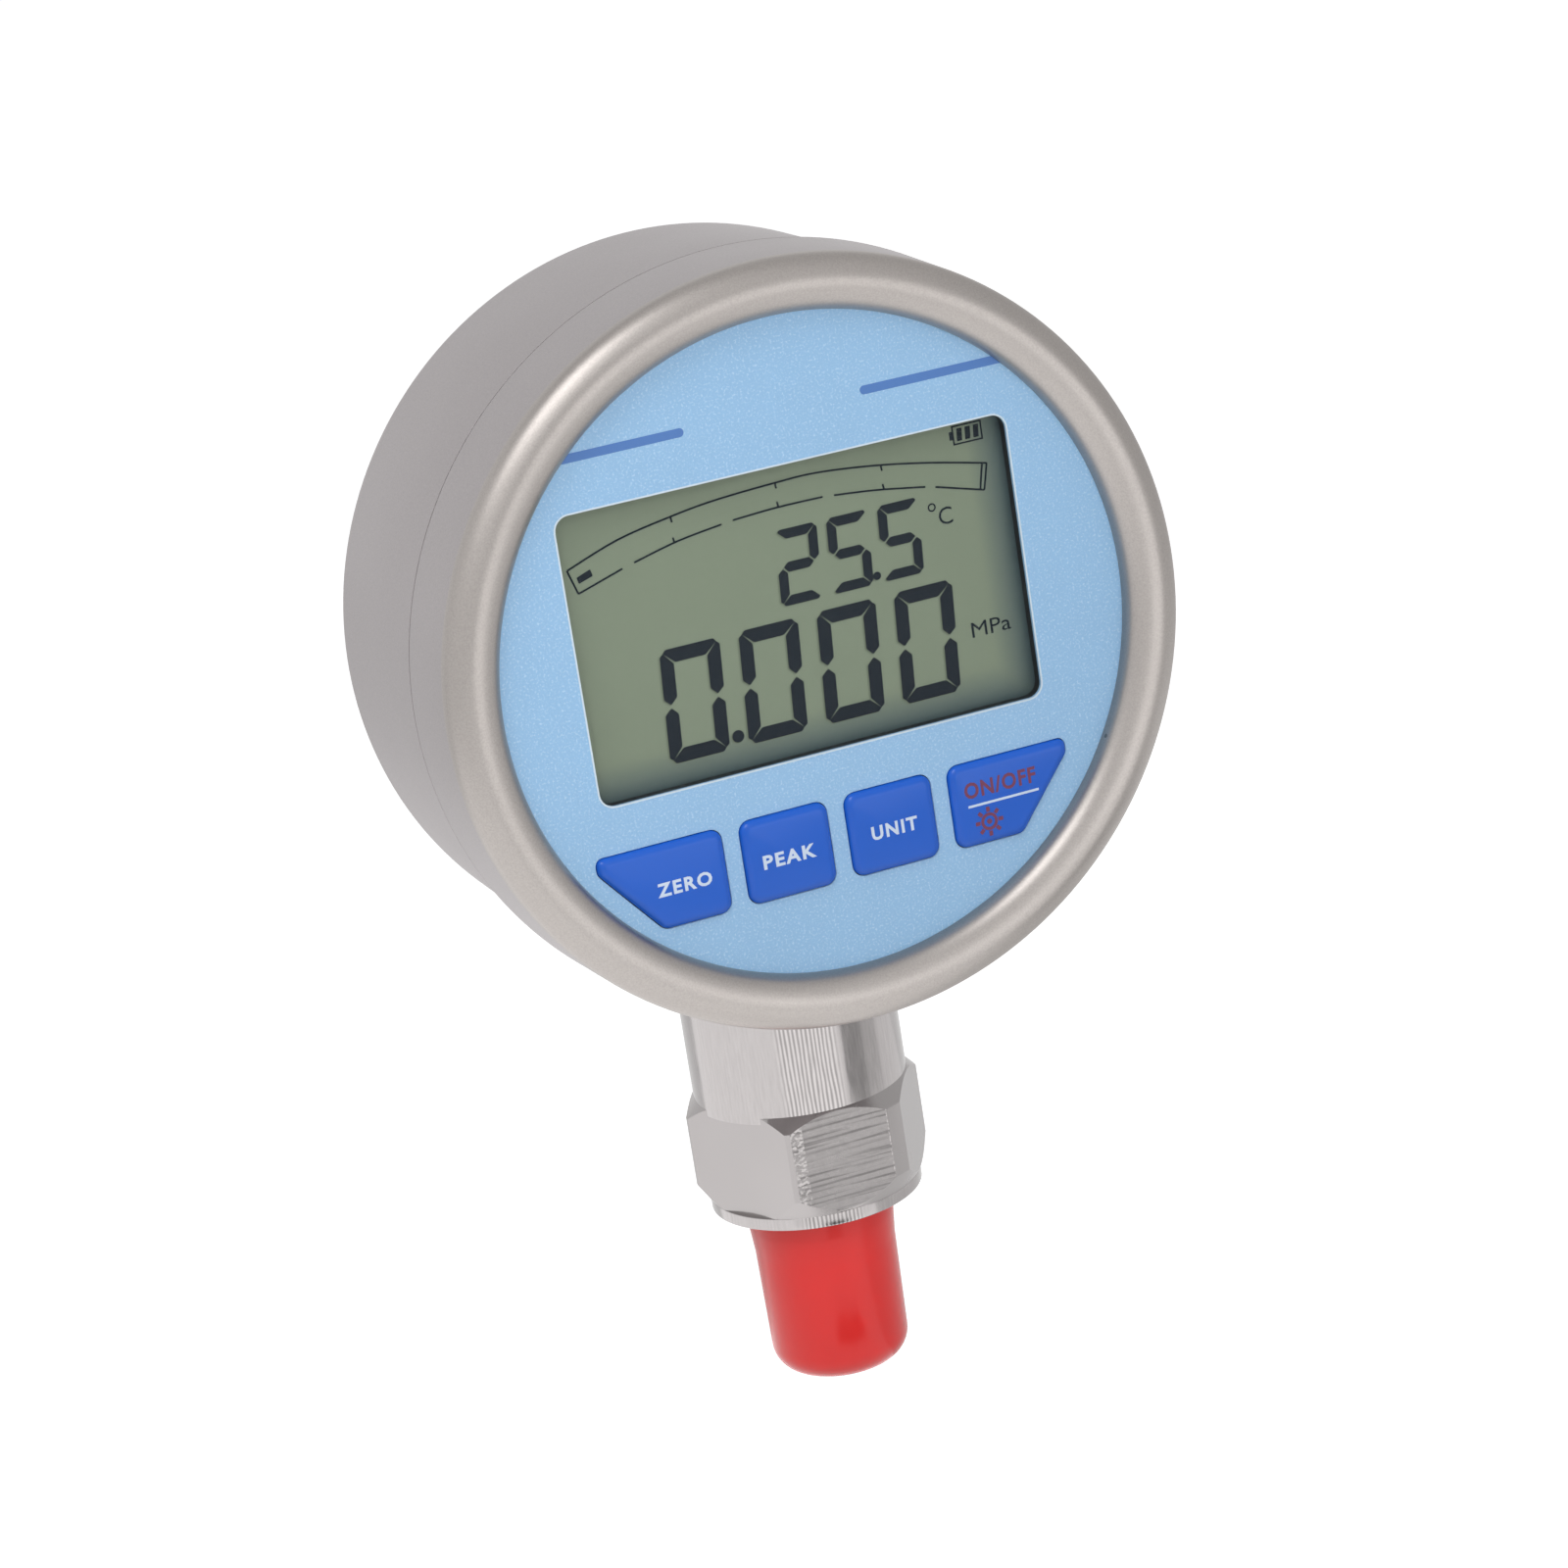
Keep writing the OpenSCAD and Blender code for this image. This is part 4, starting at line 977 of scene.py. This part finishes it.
class GAUGE_OT_stem(Dresser):
    """Make the neck, the hexagon, the collar and the threaded end"""

    bl_idname = "gauge.stem"
    bl_label = "Stem"

    def build(self, s):
        foot = HEX_HIGH - 1.0
        neck = eased([(0, foot), (s.neck_r, foot), (s.neck_r, NECK_TOP), (0, NECK_TOP)],
                     [0, 0, 0.3, 0], closed=False)
        bore_r, top = s.thread_r - 1.5, HEX_LOW + 0.02
        collar = eased([(bore_r, 0), (s.collar_r, 0), (s.collar_r, top), (bore_r, top)],
                       [0, 0.25, 0.1, 0], closed=False)
        root_r = s.thread_r - 0.6 * s.thread_pitch
        nose_r, port_r, port_top = 3.0, 1.5, STEM_END + 12
        nose = eased([(root_r, THREAD_END), (nose_r, THREAD_END), (nose_r, STEM_END),
                      (port_r, STEM_END), (port_r, port_top), (0, port_top)],
                     [0, 0, 0.4, 0.1, 0, 0], closed=False)
        for piece in (lathe("stem_neck", neck, round_stem, "turned_steel_with_painted_highlight"),
                      self.hexagon(s),
                      lathe("stem_collar", collar, round_stem, "turned_steel_with_painted_highlight", closed=True),
                      self.thread(s, root_r),
                      lathe("stem_nose", nose, round_stem, "turned_steel_with_painted_highlight", turns=96)):
            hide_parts("process_stem")

    def hexagon(self, s):
        """The hexagon, column by column: the bar or the flat, whichever lies deeper."""
        columns = self.columns(s)
        least = 0.02
        low_slope = (HEX_LOW_CORNER - HEX_LOW) / (s.hex_bar_r - s.collar_r)
        high_slope = (HEX_HIGH - HEX_HIGH_CORNER) / (s.hex_bar_r - s.neck_r)
        verts = []
        for angle, radius in columns:
            radius = min(radius, s.hex_bar_r)
            low_r, high_r = min(s.collar_r, radius), min(s.neck_r, radius)
            low = HEX_LOW + max(low_slope * (radius - low_r), least)
            high = HEX_HIGH - max(high_slope * (radius - high_r), least)
            verts += [round_stem(r, z, angle) for r, z in (
                (0, HEX_LOW), (low_r, HEX_LOW), (radius, low), (radius, high),
                (high_r, HEX_HIGH), (0, HEX_HIGH))]
        piece = new_piece("stem_hexagon", verts, column_faces(len(columns), 6), "smooth_steel")
        piece.data.materials.append(FINISHES["milled_steel_with_painted_glints"])
        self.mark_flats(piece)
        softened(piece, 0.16)
        return piece

    def columns(self, s):
        """Angle and distance from the axis of each column; the left flat lies deeper."""
        flats = [(HEX_FRONT + 60 * k, s.deep_flat if k == LEFT_FLAT else s.hex_flat)
                 for k in range(6)]
        angles = set()
        for k, (middle, distance) in enumerate(flats):
            half = math.degrees(math.acos(distance / s.hex_bar_r))
            after, beyond = flats[(k + 1) % 6]
            after += 360 if after < middle else 0
            start = after - math.degrees(math.acos(beyond / s.hex_bar_r))
            end = middle + half
            angles.update(middle - half + 2 * half * i / 24 for i in range(25))
            angles.update(end + (start - end) * i / 3 for i in range(4))
        return [(a, min(d / max(0.1, math.cos(math.radians(a - m))) for m, d in flats))
                for a in sorted({round(a % 360, 3) for a in angles})]

    def mark_flats(self, piece):
        """Gives the front flat and the one behind it their mill marks."""
        front, upright, facing = polar(1, HEX_FRONT), 0.05, 0.9995
        for face in piece.data.polygons:
            across = face.normal.xy.dot(front)
            if abs(face.normal.z) < upright and abs(across) > facing:
                face.material_index = 1

    def thread(self, s, root_r):
        """A helical thread, its relief by the collar and its lead-in at the end."""
        turns, step, relief, relief_fade, end_fade = 96, 0.125, 2.2, 0.8, 0.9
        flank, root = 1.6, 0.2
        rows = int(-THREAD_END / step) + 1
        verts = []
        for i in range(turns):
            for z in (k * step for k in range(rows)):
                phase = (z / s.thread_pitch + i / turns) % 1
                wave = flank * (1 - abs(2 * phase - 1)) - root
                height = 1.0
                for share in (wave, (z - relief) / relief_fade, (-THREAD_END - z) / end_fade):
                    height *= min(1.0, max(0.0, share))
                radius = root_r + (s.thread_r - root_r) * height
                verts.append(round_stem(radius, -z, 360 * i / turns))
        return new_piece("stem_thread", verts, column_faces(turns, rows), "smooth_steel",
                         smooth=45)


class GAUGE_OT_cap(Dresser):
    """Mould the red thread cap"""

    bl_idname = "gauge.cap"
    bl_label = "Thread cap"

    def build(self, s):
        rim, end = CAP_HIGH.z, CAP_LOW.z
        inner_r, floor = CAP_R - s.cap_wall, end + s.cap_wall
        band, step, taper, kink = 4.0, 0.4, 0.35, -20.5
        low_r = CAP_R - step - taper
        outer = eased([(inner_r, rim), (CAP_R, rim), (CAP_R - 0.05, rim - band),
                       (CAP_R - step, rim - 2 * band), (low_r, end), (0, end)],
                      [0, 0.3, 3.5, 5.0, 4.2, 0], 12, closed=False)
        inner = eased([(0, floor), (low_r - 0.6, floor), (inner_r, kink), (inner_r, rim)],
                      [0, 3.4, 0.5, 0], closed=False)
        cap = lathe("thread_cap_shell", [*outer, *inner], round_stem, "cap_red", turns=128,
                    closed=True, body="cap", slot="cap_red", smooth=60)
        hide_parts("thread_cap")


class GAUGE_OT_battery_cover(Dresser):
    """Shape the battery cover on the back"""

    bl_idname = "gauge.battery_cover"
    bl_label = "Battery cover"

    def build(self, s):
        edge, corner_r = 0.4, 8.0
        outline = box_outline(COVER_LOW, COVER_HIGH, 0.0, corner_r)
        front, back = FACE_Y - COVER_LOW.y, FACE_Y - COVER_HIGH.y
        levels = [(0.0, front), *edge_levels(edge, back + edge, back, 4)]
        cover = built_up("battery_cover_plate",
                         lambda inset: grown(outline, -inset) if inset else outline,
                         levels, "blasted_steel", slot="case_steel")
        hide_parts("battery_cover")


# Stage, light and camera

VIEW_AZIMUTH, VIEW_ELEVATION, VIEW_ROLL = -19.7673, 16.2141, -8.9404
VIEW_PLACE = Vector((-0.2111, -0.6010, 0.2493))
VIEW_LENS = 102.97
ROOM_LIGHT, ROOM_SHOWN = 0.37, 1.0
FLOOR_GREY, FLOOR_GLOW = 0.72, 0.76
CAP_FOOT = CAP_LOW.z * MM

# Cards: azimuth, distance, height, lean in degrees, half sizes and strength, in metres. They
# stand where the photo's steel and cap mirror something light or dark.
CARDS = {
    "card_back": (180, 1.0, 0.95, 90, (1.6, 0.78), 0.95),
    "card_right": (88, 0.75, 0.33, 90, (0.75, 0.45), 0.74),
    "card_top": (150, 0.25, 1.10, 0, (1.0, 0.7), 0.74),
    "card_ground": (0, 0.0, CAP_FOOT + 0.0002, 0, (1.8, 1.8), 0.88),
    "card_apron": (-52, 0.20, CAP_FOOT + 0.0006, 0, (0.26, 0.20), 1.46),
    "card_side": (84, 0.20, CAP_FOOT + 0.0004, 0, (0.07, 0.09), 1.1),
    "card_front": (20, 0.38, 0.050, 90, (0.11, 0.078), 2.1),
    "card_near": (-8, 0.062, CAP_FOOT + 0.012, 90, (0.05, 0.011), 1.3),
    "card_dark": (41, 0.13, -0.008, 90, (0.028, 0.0205), 0.52),
    "card_dim": (62, 0.135, -0.008, 90, (0.030, 0.0205), 0.80),
    "card_spot": (-4, 0.0255, CAP_FOOT + 0.0009, 0, (0.0080, 0.0048), 0.15),
    "card_slot": (-5, 0.060, CAP_FOOT + 0.0042, 90, (0.011, 0.0038), 0.10),
}

# Soft boxes: place from the dial centre in metres, watts, size, and whether gloss shows them
LAMPS = {
    "soft_box_left": ((-0.45, -0.57, 0.83), 3.4, 0.54, True),
    "soft_box_close": ((-0.055, -0.215, 0.065), 0.14, 0.12, False),
    "soft_box_front": ((0.16, -0.88, 0.16), 0.46, 0.30, False),
    "soft_box_right": ((0.75, -0.55, 0.05), 0.3, 0.5, False),
    "soft_box_top": ((0.30, -0.27, 0.90), 1.0, 0.5, False),
}


def shown_only(tree):
    """One for camera, glossy and transmission rays, and zero for light that falls on things."""
    path = node(tree, "LightPath").outputs
    first = calc(tree, "MAXIMUM", path["Is Camera Ray"], path["Is Glossy Ray"])
    return calc(tree, "MAXIMUM", first, path["Is Transmission Ray"])


def plate(name, place, size, turn, material):
    """A flat rectangle of the stage, from its half sizes."""
    x, y = size
    mesh = bpy.data.meshes.new(name)
    mesh.from_pydata([(-x, -y, 0), (x, -y, 0), (x, y, 0), (-x, y, 0)], [], [(0, 1, 2, 3)])
    mesh.materials.append(material)
    made = bpy.data.objects.new(name, mesh)
    made.location, made.rotation_euler = place, turn
    bpy.context.scene.collection.objects.link(made)
    return made


class GAUGE_OT_stage(Dresser):
    """Set the floor, the soft lights, the background and the camera"""

    bl_idname = "gauge.stage"
    bl_label = "Stage"

    def build(self, s):
        scene = bpy.context.scene
        scene.view_settings.view_transform = "Standard"
        self.world(scene)
        self.floor()
        self.cards()
        self.lamps()
        camera = bpy.data.cameras.new("photo_view")
        camera.lens, camera.sensor_width = VIEW_LENS, 36.0
        camera.clip_start, camera.clip_end = 0.05, 20.0
        holder = bpy.data.objects.new("photo_view", camera)
        place = Matrix.Translation(VIEW_PLACE)
        for angle, axis in ((VIEW_AZIMUTH, "Z"), (90 - VIEW_ELEVATION, "X"), (VIEW_ROLL, "Z")):
            place @= Matrix.Rotation(math.radians(angle), 4, axis)
        holder.matrix_world = place
        scene.collection.objects.link(holder)
        scene.camera = holder

    def world(self, scene):
        """A white background that lights the gauge less than it shows."""
        world = bpy.data.worlds.new("studio")
        scene.world = world
        world.use_nodes = True
        tree = world.node_tree
        back = tree.nodes["Background"]
        back.inputs["Color"].default_value = (1, 1, 1, 1)
        wire(back, Strength=ranged(tree, shown_only(tree), ROOM_LIGHT, ROOM_SHOWN, 0.0, 1.0))

    def floor(self):
        """A pale floor, low enough for the cap to come off above it."""
        travel = next(joint["range_m"][1] for joint in frame["joints"]
                      if joint["name"] == "cap_pull")
        tree, shader = finish("pale_floor", (FLOOR_GREY,) * 3, Roughness=0.9,
                              Specular_IOR_Level=0.0, Emission_Color=(1, 1, 1, 1))
        wire(shader, Emission_Strength=calc(tree, "MULTIPLY", shown_only(tree), FLOOR_GLOW))
        clearance = 0.0005
        plate("floor", Vector((0, 0, CAP_FOOT - travel - clearance)), (6.0, 6.0), (0, 0, 0),
              FINISHES["pale_floor"])

    def cards(self):
        """Grey and white cards that only gloss shows, as in a studio."""
        for name, (azimuth, distance, height, lean, size, strength) in CARDS.items():
            a = math.radians(azimuth)
            place = Vector((distance * math.sin(a), -distance * math.cos(a), height))
            material = bpy.data.materials.new(name)
            material.use_nodes = True
            tree = material.node_tree
            tree.nodes.remove(tree.nodes["Principled BSDF"])
            glow = node(tree, "Emission", ("Strength", strength))
            tree.links.new(glow.outputs[0], tree.nodes["Material Output"].inputs[0])
            card = plate(name, place, size, (math.radians(lean), 0, a), material)
            card.visible_camera = card.visible_diffuse = False
            card.visible_transmission = card.visible_shadow = False

    def lamps(self):
        """Soft boxes that face the dial: left, close, near the camera, right and overhead."""
        target = Vector((0, 0, DIAL_Z * MM))
        for name, (place, power, size, in_gloss) in LAMPS.items():
            lamp = bpy.data.lights.new(name, "AREA")
            lamp.energy, lamp.size = power, size
            holder = bpy.data.objects.new(name, lamp)
            spot = Vector(place) + target
            holder.location = spot
            holder.rotation_euler = (target - spot).to_track_quat("-Z", "Y").to_euler()
            holder.visible_glossy, holder.visible_camera = in_gloss, False
            bpy.context.scene.collection.objects.link(holder)


class GAUGE_PT_panel(bpy.types.Panel):
    """Sidebar panel with the gauge's operators, sizes and colours."""

    bl_idname = "GAUGE_PT_panel"
    bl_label = "Pressure gauge"
    bl_space_type = "VIEW_3D"
    bl_region_type = "UI"
    bl_category = "Gauge"

    def draw(self, context):
        for step in STEPS:
            self.layout.operator(step.bl_idname)
        for owner in (context.scene.gauge_sizes, context.scene.gauge_colours):
            for name in owner.__annotations__:
                self.layout.prop(owner, name)


STEPS = (GAUGE_OT_finishes, GAUGE_OT_inner_parts, GAUGE_OT_case, GAUGE_OT_face,
         GAUGE_OT_display, GAUGE_OT_keys, GAUGE_OT_stem, GAUGE_OT_cap, GAUGE_OT_battery_cover,
         GAUGE_OT_stage)
CLASSES = (GAUGE_PG_sizes, GAUGE_PG_colours, *STEPS, GAUGE_PT_panel)


def register():
    for item in CLASSES:
        bpy.utils.register_class(item)
    bpy.types.Scene.gauge_sizes = PointerProperty(type=GAUGE_PG_sizes)
    bpy.types.Scene.gauge_colours = PointerProperty(type=GAUGE_PG_colours)


def unregister():
    del bpy.types.Scene.gauge_colours
    del bpy.types.Scene.gauge_sizes
    for item in reversed(CLASSES):
        bpy.utils.unregister_class(item)


def main():
    """Runs every step in order."""
    register()
    bpy.ops.gauge.finishes()
    bpy.ops.gauge.inner_parts()
    bpy.ops.gauge.case()
    bpy.ops.gauge.face()
    bpy.ops.gauge.display()
    bpy.ops.gauge.keys()
    bpy.ops.gauge.stem()
    bpy.ops.gauge.cap()
    bpy.ops.gauge.battery_cover()
    bpy.ops.gauge.stage()


if __name__ == "__main__":
    main()
